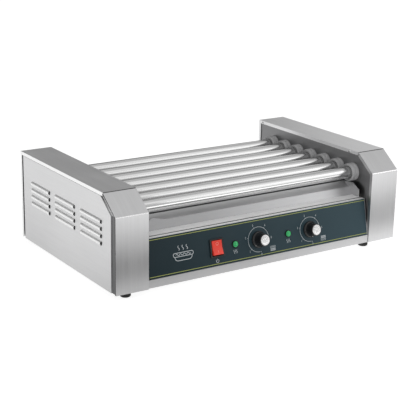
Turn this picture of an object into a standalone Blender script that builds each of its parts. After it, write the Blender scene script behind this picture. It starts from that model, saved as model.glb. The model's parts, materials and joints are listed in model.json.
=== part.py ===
"""Hot dog roller grill with seven chain-driven heated rollers between two end housings.

Lengths are in metres, Z is up, the controls face -Y and X runs to the right.
Every piece hangs on the empty "grill_frame": there y = 0 is the front face of the
end housings and z = 0 the underside of the body. The frame is placed last, so that
the origin is on the floor, at the middle of the whole grill.
"""

import math

import bmesh
import bpy
from mathutils import Matrix, Vector

# Overall sizes
WIDTH = 0.585
HOUSING_DEPTH = 0.346
BODY_HEIGHT = 0.160
FOOT_HEIGHT = 0.010
END_WIDTH = 0.060
FRONT_FACE_HEIGHT = 0.129
SLOPE_DEPTH = 0.041

# Sheet metal
SHEET = 0.001
GAP = 0.0004
RIM = 0.006
PLATE = 0.0015
REAR_SLIT = 0.005
SEAM = 0.004
BORDER = 0.010
JOGGLE = 0.0020

# Louvres in each side panel
LOUVRE_COLUMNS = 3
LOUVRE_ROWS = 4
LOUVRE_LENGTH = 0.068
LOUVRE_HEIGHT = 0.0080
LOUVRE_RISE = 0.0026
LOUVRE_SHEET = 0.0008
LOUVRE_COLUMN_PITCH = 0.0924
LOUVRE_ROW_PITCH = 0.0121
LOUVRE_FIRST_Y = 0.081
LOUVRE_TOP_Z = 0.1108

# Rollers, their bushings and their heating rods
ROLLER_COUNT = 7
ROLLER_PITCH = 0.0402
ROLLER_RADIUS = 0.0110
ROLLER_WALL = 0.0012
FIRST_ROLLER_Y = 0.0535
ROLLER_OVERHANG_DRIVE = 0.024
ROLLER_OVERHANG_HEATER = 0.010
ROLLER_OVER_TRAY = 0.0412
BUSHING_FLANGE_WALL = 0.0050
BUSHING_STEP_WALL = 0.0046
BUSHING_STEP = 0.0085
BUSHING_FLANGE = 0.0055
BUSHING_WALL = 0.0018
RUNNING_CLEARANCE = 0.0005
HEATER_RADIUS = 0.0040
HEATER_BRACKET_INSET = 0.026
HEATER_TIP = 0.0030

# Chain drive
SPROCKET_TEETH = 14
CHAIN_PITCH = 0.00635
SPROCKET_HUB_WALL = 0.00136
SPROCKET_WIDTH = 0.0040
SPROCKET_INSET = 0.014
CHAIN_THICKNESS = 0.0030
CHAIN_WIDTH = 0.0064
CHAIN_CLEARANCE = 0.0006
MOTOR_SHAFT_RADIUS = 0.0040
MOTOR_Y = 0.173
MOTOR_Z = 0.045
GEARBOX = (0.034, 0.058, 0.056)
MOTOR_RADIUS = 0.024
MOTOR_LENGTH = 0.046

# Sloping control panel
PANEL_TILT = math.radians(12.2)
FASCIA_LENGTH = 0.066
FASCIA_THICKNESS = 0.0006
FASCIA_SIDE_GAP = 0.0027
FASCIA_BOTTOM = (0.0015, 0.0150)
LEDGE_BACK = 0.046
STRIP_HEIGHT = 0.0142
CONTROL_HEIGHT = 0.0303
SWITCH_X = -0.0970
LAMP_X = (-0.0595, 0.0520)
KNOB_X = (-0.0105, 0.1005)
DIAL_ZERO = math.radians(-81)
DIAL_STEP = math.radians(56)
FRONT_KNOB_SETTING = 1

# Controls
KNOB_RADIUS = 0.0145
KNOB_SKIRT = 0.0032
KNOB_BODY_RADIUS = 0.0120
KNOB_TIP_RADIUS = 0.0104
KNOB_LENGTH = 0.0200
POINTER_WIDTH = 0.0018
POINTER_HEIGHT = 0.0010
KNOB_STEM_RADIUS = 0.0030
KNOB_STEM = 0.0120
COLLAR_WALL = 0.0014
THERMOSTAT = (0.034, 0.030, 0.024)
BEZEL = (0.0270, 0.0310, 0.0020)
SWITCH_BODY = (0.0236, 0.0284, 0.0200)
ROCKER = (0.0192, 0.0252)
ROCKER_TILT = math.radians(8)
ROCKER_HEIGHT = 0.0034
ROCKER_DEPTH = 0.0052
ROCKER_PIVOT = -0.0010
LAMP_RADIUS = 0.0062
LAMP_DOME = 0.0042
LAMP_STEM_RADIUS = 0.0036
LAMP_STEM = 0.0130

# Drip tray
TRAY_GAP_RIGHT = 0.0065
TRAY_GAP_LEFT = 0.0105
TRAY_GAP_BACK = 0.024
TRAY_LIP_Y = 0.026
TRAY_FACE_Y = 0.0435
TRAY_BEND_Y = 0.0505
TRAY_BEND_RISE = 0.0146
TRAY_FLANGE_Y = 0.0665
TRAY_FLANGE_RISE = 0.0221
TRAY_END_RISE = 0.0241
TRAY_REAR_RISE = 0.012
TRAY_EAR_INSET = 0.050

# Feet, gland and terminals
FOOT_RADIUS = 0.0090
FOOT_INSET_LEFT = 0.0265
FOOT_INSET_RIGHT = 0.0585
FOOT_INSET_FRONT = 0.0165
FOOT_INSET_BACK = 0.018
GLAND_INSET = 0.0275
GLAND_Z = 0.034
GLAND_RADIUS = 0.0095
GLAND_NECK = 0.0070
GLAND_BORE = 0.0040
GLAND_LENGTH = 0.012
TERMINAL_BLOCK = (0.052, 0.022, 0.020)
TERMINAL_INSET = (0.045, 0.056)
BACK_HEIGHT = 0.106

ROUND = 24
INNER_X = WIDTH / 2 - END_WIDTH
PLATE_X = INNER_X + SHEET + GAP
ACROSS_X = Matrix(((0, 0, 1), (1, 0, 0), (0, 1, 0))).to_euler()
ALONG_X = (0, math.pi / 2, 0)
SPROCKET_PITCH_RADIUS = CHAIN_PITCH / 2 / math.sin(math.pi / SPROCKET_TEETH)
SPROCKET_TIP_RADIUS = SPROCKET_PITCH_RADIUS + 0.26 * CHAIN_PITCH
SPROCKET_ROOT_RADIUS = ROLLER_RADIUS + SPROCKET_HUB_WALL
SPROCKET_X = -(PLATE_X + PLATE + SPROCKET_INSET)
PANEL_SHEET = -(FASCIA_THICKNESS + GAP)
DECK_TOP = (
    FASCIA_BOTTOM[1]
    + FASCIA_LENGTH * math.cos(PANEL_TILT)
    + PANEL_SHEET * math.sin(PANEL_TILT)
)
TRAY_Z = FASCIA_BOTTOM[1] + FASCIA_LENGTH * math.cos(PANEL_TILT) + GAP
TRAY_RIGHT = INNER_X - TRAY_GAP_RIGHT
TRAY_LEFT = TRAY_GAP_LEFT - INNER_X
TRAY_BACK_Y = HOUSING_DEPTH - TRAY_GAP_BACK
TRAY_EAR_X = TRAY_LEFT + TRAY_EAR_INSET
ROLLER_Z = TRAY_Z + ROLLER_OVER_TRAY
BUSHING_BORE = ROLLER_RADIUS + RUNNING_CLEARANCE
STEM_BORE = KNOB_STEM_RADIUS + RUNNING_CLEARANCE
COLLAR_HOLE = STEM_BORE + COLLAR_WALL + GAP
LAMP_HOLE = LAMP_STEM_RADIUS + GAP
GLAND_X = INNER_X - GLAND_INSET


def roller_y(index):
    return FIRST_ROLLER_Y + index * ROLLER_PITCH


# Scene and materials

for old in list(bpy.data.objects):
    bpy.data.objects.remove(old, do_unlink=True)

pieces = bpy.data.collections.new("hot_dog_roller_grill")
cutters = bpy.data.collections.new("cutters")
bpy.context.scene.collection.children.link(pieces)
bpy.context.scene.collection.children.link(cutters)


def material(name, colour, roughness, metallic=0.0):
    made = bpy.data.materials.new(name)
    made.use_nodes = True
    shader = made.node_tree.nodes["Principled BSDF"]
    shader.inputs["Base Color"].default_value = (*colour, 1)
    shader.inputs["Roughness"].default_value = roughness
    shader.inputs["Metallic"].default_value = metallic
    return made


BRUSHED = material("brushed_steel", (0.62, 0.62, 0.62), 0.38, 1.0)
POLISHED = material("polished_steel", (0.72, 0.72, 0.72), 0.18, 1.0)
PLATE_STEEL = material("plate_steel", (0.22, 0.22, 0.23), 0.45, 1.0)
ZINC = material("zinc", (0.48, 0.48, 0.47), 0.40, 1.0)
FILM = material("fascia_film", (0.035, 0.060, 0.072), 0.40)
BUSHING = material("bushing_grey", (0.42, 0.42, 0.42), 0.55)
BLACK = material("black_plastic", (0.012, 0.012, 0.012), 0.30)
RUBBER = material("black_rubber", (0.015, 0.015, 0.015), 0.80)
RED = material("rocker_red", (0.70, 0.03, 0.02), 0.30)
GREEN = material("lamp_green", (0.01, 0.42, 0.12), 0.15)
CERAMIC = material("heater_sheath", (0.30, 0.27, 0.24), 0.55, 0.6)
CHAIN_STEEL = material("chain_steel", (0.16, 0.15, 0.14), 0.45, 1.0)


def empty(name, parent=None, location=(0, 0, 0), rotation=(0, 0, 0)):
    made = bpy.data.objects.new(name, None)
    pieces.objects.link(made)
    made.parent = parent
    made.location = location
    made.rotation_euler = rotation
    return made


frame = empty("grill_frame")
panel = empty(
    "panel_frame", frame, (0, *FASCIA_BOTTOM), (math.pi / 2 - PANEL_TILT, 0, 0)
)


# Modelling helpers


def add(name, data, look, parent=frame, location=(0, 0, 0), rotation=(0, 0, 0)):
    """An object in the part's collection, or a hidden helper when it has no look."""
    made = bpy.data.objects.new(name, data)
    made.parent = parent
    made.location = location
    made.rotation_euler = rotation
    if look is None:
        cutters.objects.link(made)
        made.hide_render = True
        made.display_type = "WIRE"
    else:
        pieces.objects.link(made)
        data.materials.clear()
        data.materials.append(look)
    return made


def box(name, low, high, look=None, parent=frame):
    bm = bmesh.new()
    size = Vector(high) - Vector(low)
    centre = (Vector(high) + Vector(low)) / 2
    where = Matrix.Translation(centre) @ Matrix.Diagonal((*size, 1))
    bmesh.ops.create_cube(bm, size=1, matrix=where)
    data = bpy.data.meshes.new(name)
    bm.to_mesh(data)
    bm.free()
    return add(name, data, look, parent)


def circle(centre, radius, steps=ROUND, start=0.0):
    """Points of a full circle, for a hole or a round outline."""
    turns = [start + 2 * math.pi * i / steps for i in range(steps)]
    return [
        (centre[0] + radius * math.cos(a), centre[1] + radius * math.sin(a))
        for a in turns
    ]


def to_mesh(obj):
    """Replaces a curve, or an object with modifiers, by its own finished mesh."""
    graph = bpy.context.evaluated_depsgraph_get()
    data = bpy.data.meshes.new_from_object(obj.evaluated_get(graph))
    bm = bmesh.new()
    bm.from_mesh(data)
    bmesh.ops.remove_doubles(bm, verts=bm.verts, dist=1e-6)
    bm.to_mesh(data)
    bm.free()
    name, parent, spot = obj.name, obj.parent, obj.matrix_basis.copy()
    shown = pieces if pieces in obj.users_collection else cutters
    hidden, look = obj.hide_render, obj.display_type
    bpy.data.objects.remove(obj, do_unlink=True)
    made = bpy.data.objects.new(name, data)
    shown.objects.link(made)
    made.parent, made.matrix_basis = parent, spot
    made.hide_render, made.display_type = hidden, look
    return made


def slab(name, outlines, low, high, look=None, parent=frame, rotation=ACROSS_X):
    """A flat outline, with any holes after it, from low to high along its normal.

    With the default rotation the outline is given as (y, z) and the normal is X.
    """
    data = bpy.data.curves.new(name, "CURVE")
    data.dimensions = "2D"
    data.fill_mode = "BOTH"
    data.extrude = (high - low) / 2
    for outline in outlines:
        spline = data.splines.new("POLY")
        spline.points.add(len(outline) - 1)
        for point, (u, v) in zip(spline.points, outline):
            point.co = (u, v, 0, 1)
        spline.use_cyclic_u = True
    middle = (high + low) / 2
    along = Matrix(rotation.to_matrix()) @ Vector((0, 0, middle))
    return to_mesh(add(name, data, look, parent, along, rotation))


FLAT = Matrix.Identity(3).to_euler()


def bent_sheet(name, path, low_x, high_x, look=None, thickness=SHEET):
    """A folded sheet: the path (y, z) swept along X and thickened to its right."""
    bm = bmesh.new()
    points = [bm.verts.new((low_x, y, z)) for y, z in path]
    edges = [bm.edges.new(pair) for pair in zip(points, points[1:])]
    swept = bmesh.ops.extrude_edge_only(bm, edges=edges)
    moved = [v for v in swept["geom"] if isinstance(v, bmesh.types.BMVert)]
    bmesh.ops.translate(bm, verts=moved, vec=(high_x - low_x, 0, 0))
    bm.normal_update()
    along = points[1].co - points[0].co
    left = Vector((0, -along.z, along.y))
    if points[0].link_faces[0].normal.dot(left) < 0:
        bmesh.ops.reverse_faces(bm, faces=bm.faces)
    data = bpy.data.meshes.new(name)
    bm.to_mesh(data)
    bm.free()
    made = add(name, data, look)
    thicken(made, thickness)
    return made


def thicken(obj, thickness):
    solid = obj.modifiers.new("sheet", "SOLIDIFY")
    solid.thickness = thickness
    solid.offset = -1
    solid.use_even_offset = True


def turned(name, profile, look, parent=frame, location=(0, 0, 0), rotation=(0, 0, 0),
           closed=False, steps=ROUND):
    """A profile (radius, height), listed down its outer side, turned about local Z."""
    bm = bmesh.new()
    points = [bm.verts.new((r, 0, h)) for r, h in profile]
    for pair in zip(points, points[1:]):
        bm.edges.new(pair)
    if closed:
        bm.edges.new((points[-1], points[0]))
    data = bpy.data.meshes.new(name)
    bm.to_mesh(data)
    bm.free()
    made = add(name, data, look, parent, location, rotation)
    screw = made.modifiers.new("turn", "SCREW")
    screw.steps = screw.render_steps = steps
    screw.use_merge_vertices = True
    screw.merge_threshold = 1e-6
    return made


def combine(obj, others, operation):
    for other in others:
        cut = obj.modifiers.new(other.name, "BOOLEAN")
        cut.operation = operation
        cut.object = other
        cut.solver = "EXACT"
    return obj


def join(obj, *others):
    return combine(obj, others, "UNION")


def cut(obj, *others):
    return combine(obj, others, "DIFFERENCE")


def rod(name, centre, radius, low, high, parent=frame, rotation=ALONG_X, steps=ROUND):
    """A hidden cylinder along X, or along the parent's Z, used to cut or to join."""
    profile = [(0, high), (radius, high), (radius, low), (0, low)]
    return turned(name, profile, None, parent, centre, rotation, steps=steps)


# End housings


def housing_outline(inset=0.0, front=None, rear=None, slope=None, bottom=None):
    """The end housing's outline (y, z), moved inwards by a distance on each side."""
    front = inset if front is None else front
    rear = inset if rear is None else rear
    slope = inset if slope is None else slope
    bottom = inset if bottom is None else bottom
    rise = BODY_HEIGHT - FRONT_FACE_HEIGHT
    length = math.hypot(rise, SLOPE_DEPTH)
    top = BODY_HEIGHT - inset
    # The slope is the line z = FRONT_FACE_HEIGHT + y * rise / SLOPE_DEPTH, moved in.
    drop = slope * length / SLOPE_DEPTH
    lower = FRONT_FACE_HEIGHT + front * rise / SLOPE_DEPTH - drop
    upper = (top - FRONT_FACE_HEIGHT + drop) * SLOPE_DEPTH / rise
    back = HOUSING_DEPTH - rear
    return [(front, bottom), (back, bottom), (back, top), (upper, top), (front, lower)]


def housing_cover(name, side, kept, outer_rim):
    """Folded cover made of the kept edges of the housing and their narrow side rims."""
    outline = housing_outline()
    bm = bmesh.new()
    points = [bm.verts.new((side * INNER_X, y, z)) for y, z in outline]
    inner = bm.faces.new(points)
    swept = bmesh.ops.extrude_face_region(bm, geom=[inner])
    moved = [v for v in swept["geom"] if isinstance(v, bmesh.types.BMVert)]
    bmesh.ops.translate(bm, verts=moved, vec=(side * END_WIDTH, 0, 0))
    bm.normal_update()
    walls = [f for f in bm.faces if abs(f.normal.x) > 0.5]
    bmesh.ops.inset_individual(bm, faces=walls, thickness=RIM, use_even_offset=True)
    edges = list(zip(outline, outline[1:] + outline[:1]))
    bm.normal_update()
    doomed = []
    for face in bm.faces:
        spot = face.calc_center_median()
        rim = abs(face.normal.x) > 0.5
        if rim and face in walls:
            doomed.append(face)
            continue
        if rim and not outer_rim and abs(spot.x) > INNER_X + END_WIDTH / 2:
            doomed.append(face)
            continue
        reach = [distance_to_edge((spot.y, spot.z), *edge) for edge in edges]
        if reach.index(min(reach)) not in kept:
            doomed.append(face)
    bmesh.ops.delete(bm, geom=doomed, context="FACES")
    bmesh.ops.recalc_face_normals(bm, faces=bm.faces)
    if sum(f.normal.z for f in bm.faces) < 0:
        bmesh.ops.reverse_faces(bm, faces=bm.faces)
    data = bpy.data.meshes.new(name)
    bm.to_mesh(data)
    bm.free()
    made = add(name, data, BRUSHED)
    thicken(made, SHEET)
    return made


def distance_to_edge(point, start, end):
    start, end, point = Vector(start), Vector(end), Vector(point)
    along = end - start
    share = max(0, min(1, (point - start).dot(along) / along.length_squared))
    return (start + share * along - point).length


def separate_at_seam(cover, side, keep_front):
    """Trims a cover by half the gap where the top and the front cover meet."""
    corner = housing_outline()[3]
    low = min(side * (INNER_X - GAP), side * (WIDTH / 2 + GAP))
    high = max(side * (INNER_X - GAP), side * (WIDTH / 2 + GAP))
    reach = 3 * RIM
    ahead = -GAP / 2 if keep_front else -reach
    behind = reach if keep_front else GAP / 2
    blade = box(
        f"{cover.name}_seam",
        (low, corner[0] + ahead, corner[1] - reach),
        (high, corner[0] + behind, corner[1] + reach),
    )
    return cut(cover, blade)


def louvre_arch(name, width, rise, low_y, high_y, root_x, side, steps):
    """All the louvres of one panel as arched bars that stand on the panel's face."""
    outline = []
    for i in range(steps + 1):
        turn = math.pi * i / steps
        outline.append((-width / 2 * math.cos(turn), rise * math.sin(turn)))
    bm = bmesh.new()
    for row in range(LOUVRE_ROWS):
        for column in range(LOUVRE_COLUMNS):
            z = LOUVRE_TOP_Z - row * LOUVRE_ROW_PITCH
            y = LOUVRE_FIRST_Y + column * LOUVRE_COLUMN_PITCH
            section = [
                bm.verts.new((side * (root_x + up), y + low_y, z + across))
                for across, up in outline
            ]
            foot = [
                bm.verts.new((side * (root_x - 2.5 * SHEET), y + low_y, z + across))
                for across in (width / 2, -width / 2)
            ]
            face = bm.faces.new(section + foot)
            swept = bmesh.ops.extrude_face_region(bm, geom=[face])
            moved = [v for v in swept["geom"] if isinstance(v, bmesh.types.BMVert)]
            bmesh.ops.translate(bm, verts=moved, vec=(0, high_y - low_y, 0))
    bmesh.ops.recalc_face_normals(bm, faces=bm.faces)
    data = bpy.data.meshes.new(name)
    bm.to_mesh(data)
    bm.free()
    return add(name, data, None)


def side_panel(label, side):
    """Louvred outer panel: a flat field and a set-back border along its front edge."""
    name = f"{label}_side_panel"
    field = housing_outline(
        RIM + GAP, front=SEAM + BORDER + SHEET, rear=RIM + REAR_SLIT,
        slope=SHEET + 0.0085, bottom=0.0,
    )
    border = housing_outline(
        RIM + GAP, front=SEAM + SHEET, rear=RIM + REAR_SLIT, slope=SHEET + 0.0018,
        bottom=0.0,
    )
    inside = housing_outline(
        RIM + GAP + SHEET, front=SEAM + BORDER + 2 * SHEET, rear=RIM + REAR_SLIT + SHEET,
        slope=2 * SHEET + 0.0085, bottom=SHEET,
    )
    outer = WIDTH / 2

    def across(near, far):
        return sorted((side * near, side * far))

    panel_face = slab(name, [field], *across(outer - SHEET, outer), BRUSHED)
    wall = slab(
        f"{name}_fold", [field, inside],
        *across(outer - SHEET - JOGGLE, outer - SHEET / 2),
    )
    edge = slab(
        f"{name}_border", [border, inside],
        *across(outer - SHEET - JOGGLE - SHEET / 4, outer - JOGGLE),
    )
    half = LOUVRE_LENGTH / 2
    arches = louvre_arch(
        f"{name}_arches", LOUVRE_HEIGHT, LOUVRE_RISE, -half, half, outer, side, 6
    )
    hollows = louvre_arch(
        f"{name}_hollows", LOUVRE_HEIGHT - 2 * LOUVRE_SHEET,
        LOUVRE_RISE - LOUVRE_SHEET, -half - 0.002, half + 0.002, outer, side, 4,
    )
    join(panel_face, wall, edge)
    louvre_roots(arches, side, outer)
    join(panel_face, arches)
    return cut(panel_face, hollows)


def louvre_roots(arches, side, outer):
    """Trims the arches' feet to the middle of the panel's thickness."""
    low, high = sorted((side * (outer - 4 * SHEET), side * (outer - SHEET / 2)))
    cut(arches, box(f"{arches.name}_trim", (low, 0, 0), (high, HOUSING_DEPTH, BODY_HEIGHT)))


def bearing_plate(label, side):
    """Inner wall of an end housing, with a hole for each roller's bushing."""
    outline = housing_outline(2 * SHEET)
    hole = BUSHING_BORE + BUSHING_WALL + GAP
    holes = [circle((roller_y(i), ROLLER_Z), hole) for i in range(ROLLER_COUNT)]
    if side < 0:
        holes.append(circle((MOTOR_Y, MOTOR_Z), MOTOR_SHAFT_RADIUS + 0.001))
    low, high = sorted((side * PLATE_X, side * (PLATE_X + PLATE)))
    return slab(f"{label}_bearing_plate", [outline, *holes], low, high, PLATE_STEEL)


def end_housing(label, side):
    top = housing_cover(f"{label}_top_cover", side, kept=(1, 2), outer_rim=True)
    separate_at_seam(top, side, keep_front=False)
    front = housing_cover(f"{label}_front_cover", side, kept=(3, 4), outer_rim=False)
    separate_at_seam(front, side, keep_front=True)
    side_panel(label, side)
    bearing_plate(label, side)


# Chassis


def base_pan():
    """Floor of the body, with the bright strip turned up between the housings."""
    reach = WIDTH / 2 - 2 * SHEET - JOGGLE - GAP
    floor = box(
        "base_pan",
        (-reach, RIM + GAP, 0), (reach, HOUSING_DEPTH - RIM - GAP, SHEET),
        BRUSHED,
    )
    reach = INNER_X - GAP
    front = FASCIA_BOTTOM[0]
    tongue = box(
        "base_pan_tongue",
        (-reach, front, 0), (reach, HOUSING_DEPTH - SHEET - GAP, SHEET),
    )
    strip = box(
        "base_pan_strip", (-reach, front, 0), (reach, front + SHEET, STRIP_HEIGHT)
    )
    return join(floor, tongue, strip)


def panel_hole(name, x, radius):
    return rod(
        name, (x, CONTROL_HEIGHT, 0), radius, -0.006, 0.006, parent=panel, rotation=FLAT
    )


def switch_opening(name):
    half = [(size + GAP) / 2 for size in SWITCH_BODY[:2]]
    return box(
        name,
        (SWITCH_X - half[0], CONTROL_HEIGHT - half[1], -0.006),
        (SWITCH_X + half[0], CONTROL_HEIGHT + half[1], 0.006),
        parent=panel,
    )


def panel_point(height, out):
    """Where a point of the panel, at a height up it and a distance out, is in (y, z)."""
    return (
        FASCIA_BOTTOM[0] + height * math.sin(PANEL_TILT) - out * math.cos(PANEL_TILT),
        FASCIA_BOTTOM[1] + height * math.cos(PANEL_TILT) + out * math.sin(PANEL_TILT),
    )


def front_panel():
    """Sloping sheet behind the fascia, its ledge and its stiffening folds."""
    reach = INNER_X - GAP
    low = panel_point(0, PANEL_SHEET)
    high = panel_point(FASCIA_LENGTH, PANEL_SHEET)
    path = [
        (low[0] + 0.010, low[1]), low, high,
        (LEDGE_BACK, high[1]), (LEDGE_BACK, high[1] - 0.008),
    ]
    sheet = bent_sheet("front_panel", path, -reach, reach, BRUSHED)
    holes = [panel_hole(f"front_panel_collar_{i}", x, COLLAR_HOLE) for i, x in enumerate(KNOB_X)]
    holes += [panel_hole(f"front_panel_lamp_{i}", x, LAMP_HOLE) for i, x in enumerate(LAMP_X)]
    return cut(sheet, switch_opening("front_panel_switch"), *holes)


def control_fascia():
    """Printed film plate that covers the sloping panel."""
    reach = INNER_X - FASCIA_SIDE_GAP
    outline = [
        (-reach, 0), (reach, 0), (reach, FASCIA_LENGTH), (-reach, FASCIA_LENGTH)
    ]
    half = [(size + GAP) / 2 for size in SWITCH_BODY[:2]]
    window = [
        (SWITCH_X + u * half[0], CONTROL_HEIGHT + v * half[1])
        for u, v in ((-1, -1), (1, -1), (1, 1), (-1, 1))
    ]
    holes = [circle((x, CONTROL_HEIGHT), COLLAR_HOLE) for x in KNOB_X]
    holes += [circle((x, CONTROL_HEIGHT), LAMP_HOLE) for x in LAMP_X]
    return slab(
        "control_fascia", [outline, window, *holes], -FASCIA_THICKNESS, 0, FILM,
        panel, FLAT,
    )


def tray_deck():
    """Shelf over the wiring space, which carries the drip tray."""
    reach = PLATE_X - GAP
    back = HOUSING_DEPTH - RIM - GAP
    start = LEDGE_BACK + SHEET + GAP
    path = [(start, DECK_TOP - 0.008), (start, DECK_TOP), (back, DECK_TOP)]
    return bent_sheet("tray_deck", path, -reach, reach, ZINC)


def back_panel():
    """Rear wall between the housings, with vent slots and the hole for the gland."""
    reach = INNER_X - GAP
    slots = []
    for i in range(9):
        x = -0.150 + i * 0.026
        ends = ((x - 0.0015, 0.034), (x + 0.0015, 0.034))
        slots.append([*ends, (x + 0.0015, 0.062), (x - 0.0015, 0.062)])
    outline = [
        (-reach, SHEET + GAP), (reach, SHEET + GAP), (reach, BACK_HEIGHT),
        (-reach, BACK_HEIGHT),
    ]
    hole = circle((GLAND_X, GLAND_Z), GLAND_NECK + GAP)
    upright = Matrix(((1, 0, 0), (0, 0, -1), (0, 1, 0))).to_euler()
    low = -(HOUSING_DEPTH - SHEET)
    return slab(
        "back_panel", [outline, hole, *slots], low, low + SHEET, BRUSHED,
        rotation=upright,
    )


# Rollers


def bushing(label, side, index):
    """Stepped plastic bush in the bearing plate; its two rings face the food."""
    bore = BUSHING_BORE
    sleeve, step = bore + BUSHING_WALL, bore + BUSHING_STEP_WALL
    flange = bore + BUSHING_FLANGE_WALL
    head = BUSHING_STEP + BUSHING_FLANGE
    tail = -(GAP + PLATE + 0.002)
    profile = [
        (bore, head), (step, head), (step, BUSHING_FLANGE),
        (flange, BUSHING_FLANGE), (flange, 0), (sleeve, 0),
        (sleeve, tail), (bore, tail),
    ]
    turn = (0, -side * math.pi / 2, 0)
    where = (side * (PLATE_X - GAP), roller_y(index), ROLLER_Z)
    name = f"{label}_bushing_{index + 1}"
    return turned(name, profile, BUSHING, frame, where, turn, closed=True, steps=20)


def sprocket_outline(centre=(0, 0)):
    outline = []
    for tooth in range(SPROCKET_TEETH):
        base = 2 * math.pi * tooth / SPROCKET_TEETH
        step = 2 * math.pi / SPROCKET_TEETH
        for share, radius in (
            (-0.14, SPROCKET_TIP_RADIUS), (0.14, SPROCKET_TIP_RADIUS),
            (0.50, SPROCKET_ROOT_RADIUS),
        ):
            turn = base + share * step
            outline.append(
                (centre[0] + radius * math.cos(turn), centre[1] + radius * math.sin(turn))
            )
    return outline


def roller_mesh():
    """One tube with its sprocket welded on, about its own axis along local Z."""
    high = PLATE_X + PLATE + ROLLER_OVERHANG_HEATER
    low = -(PLATE_X + PLATE + ROLLER_OVERHANG_DRIVE)
    bore = ROLLER_RADIUS - ROLLER_WALL
    profile = [(bore, high), (ROLLER_RADIUS, high), (ROLLER_RADIUS, low), (bore, low)]
    tube = turned("roller_tube", profile, None, closed=True)
    hole = circle((0, 0), ROLLER_RADIUS - ROLLER_WALL / 2)
    ring = slab(
        "roller_sprocket", [sprocket_outline(), hole],
        SPROCKET_X - SPROCKET_WIDTH / 2, SPROCKET_X + SPROCKET_WIDTH / 2, rotation=FLAT,
    )
    joined = to_mesh(join(tube, ring))
    data = joined.data
    data.name = "roller"
    bpy.data.objects.remove(joined, do_unlink=True)
    data.shade_smooth()
    data.set_sharp_from_angle(angle=math.radians(35))
    return data


def rollers():
    data = roller_mesh()
    for i in range(ROLLER_COUNT):
        where = (0, roller_y(i), ROLLER_Z)
        add(f"roller_{i + 1}", data, POLISHED, location=where, rotation=ALONG_X)
        bushing("left", -1, i)
        bushing("right", 1, i)


def heaters():
    """Heating rods that stand still inside the rollers, held at the right end."""
    bracket = PLATE_X + PLATE + HEATER_BRACKET_INSET
    start = -(PLATE_X - 0.010)
    shoulder = bracket - GAP
    for i in range(ROLLER_COUNT):
        profile = [
            (0, bracket + 0.014), (HEATER_TIP, bracket + 0.014), (HEATER_TIP, shoulder),
            (HEATER_RADIUS, shoulder), (HEATER_RADIUS, start), (0, start),
        ]
        where = (0, roller_y(i), ROLLER_Z)
        name = f"heater_{i + 1}"
        turned(name, profile, CERAMIC, frame, where, ALONG_X, steps=12)
    ends = (roller_y(0) - 0.022, roller_y(ROLLER_COUNT - 1) + 0.022)
    outline = [
        (ends[0], ROLLER_Z - 0.012), (ends[1], ROLLER_Z - 0.012),
        (ends[1], ROLLER_Z + 0.012), (ends[0], ROLLER_Z + 0.012),
    ]
    holes = [
        circle((roller_y(i), ROLLER_Z), HEATER_TIP + GAP, 16, 0.05 * i + 0.03)
        for i in range(ROLLER_COUNT)
    ]
    strip = slab("heater_bracket", [outline, *holes], bracket, bracket + PLATE, ZINC)
    legs = []
    for i, near in enumerate((ends[0] + 0.001, ends[1] - 0.007)):
        legs.append(
            box(
                f"heater_bracket_leg_{i}",
                (PLATE_X + PLATE + GAP, near, ROLLER_Z - 0.011),
                (bracket + PLATE / 2, near + 0.006, ROLLER_Z - 0.008),
            )
        )
    return join(strip, *legs)


# Drive


def chain_path(radius):
    """Outline (y, z) of a belt round the first, last and motor sprockets."""
    centres = [
        (roller_y(ROLLER_COUNT - 1), ROLLER_Z), (roller_y(0), ROLLER_Z), (MOTOR_Y, MOTOR_Z),
    ]
    outline = []
    steps = 10
    for i, centre in enumerate(centres):
        before, after = centres[i - 1], centres[(i + 1) % 3]
        arrive = Vector(centre) - Vector(before)
        leave = Vector(after) - Vector(centre)
        first = math.atan2(-arrive.x, arrive.y)
        last = math.atan2(-leave.x, leave.y)
        sweep = (last - first) % (2 * math.pi)
        for k in range(steps + 1):
            turn = first + sweep * k / steps
            outline.append(
                (centre[0] + radius * math.cos(turn), centre[1] + radius * math.sin(turn))
            )
    return outline


def drive():
    inner = SPROCKET_TIP_RADIUS + CHAIN_CLEARANCE
    half = CHAIN_WIDTH / 2
    slab(
        "drive_chain", [chain_path(inner + CHAIN_THICKNESS), chain_path(inner)],
        SPROCKET_X - half, SPROCKET_X + half, CHAIN_STEEL,
    )
    gearbox_front = -(PLATE_X - GAP)
    shaft = (SPROCKET_X - 0.006, gearbox_front + 0.016)
    turning = turned(
        "motor_sprocket",
        [
            (0, shaft[1]), (MOTOR_SHAFT_RADIUS, shaft[1]), (MOTOR_SHAFT_RADIUS, shaft[0]),
            (0, shaft[0]),
        ],
        ZINC, frame, (0, MOTOR_Y, MOTOR_Z), ALONG_X,
    )
    hub = slab(
        "motor_sprocket_teeth", [sprocket_outline((MOTOR_Y, MOTOR_Z))],
        SPROCKET_X - SPROCKET_WIDTH / 2, SPROCKET_X + SPROCKET_WIDTH / 2,
    )
    join(turning, hub)
    width, depth, height = GEARBOX
    body = box(
        "gear_motor",
        (gearbox_front, MOTOR_Y - depth / 2, MOTOR_Z - height / 2),
        (gearbox_front + width, MOTOR_Y + depth / 2, MOTOR_Z + height / 2),
        BLACK,
    )
    low = gearbox_front + width - 0.002
    can = rod("gear_motor_can", (0, MOTOR_Y, MOTOR_Z), MOTOR_RADIUS, low, low + MOTOR_LENGTH)
    bore = rod(
        "gear_motor_bore", (0, MOTOR_Y, MOTOR_Z), MOTOR_SHAFT_RADIUS + RUNNING_CLEARANCE,
        gearbox_front - 0.004, shaft[1] + 0.001,
    )
    cut(join(body, can), bore)


# Controls


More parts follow.
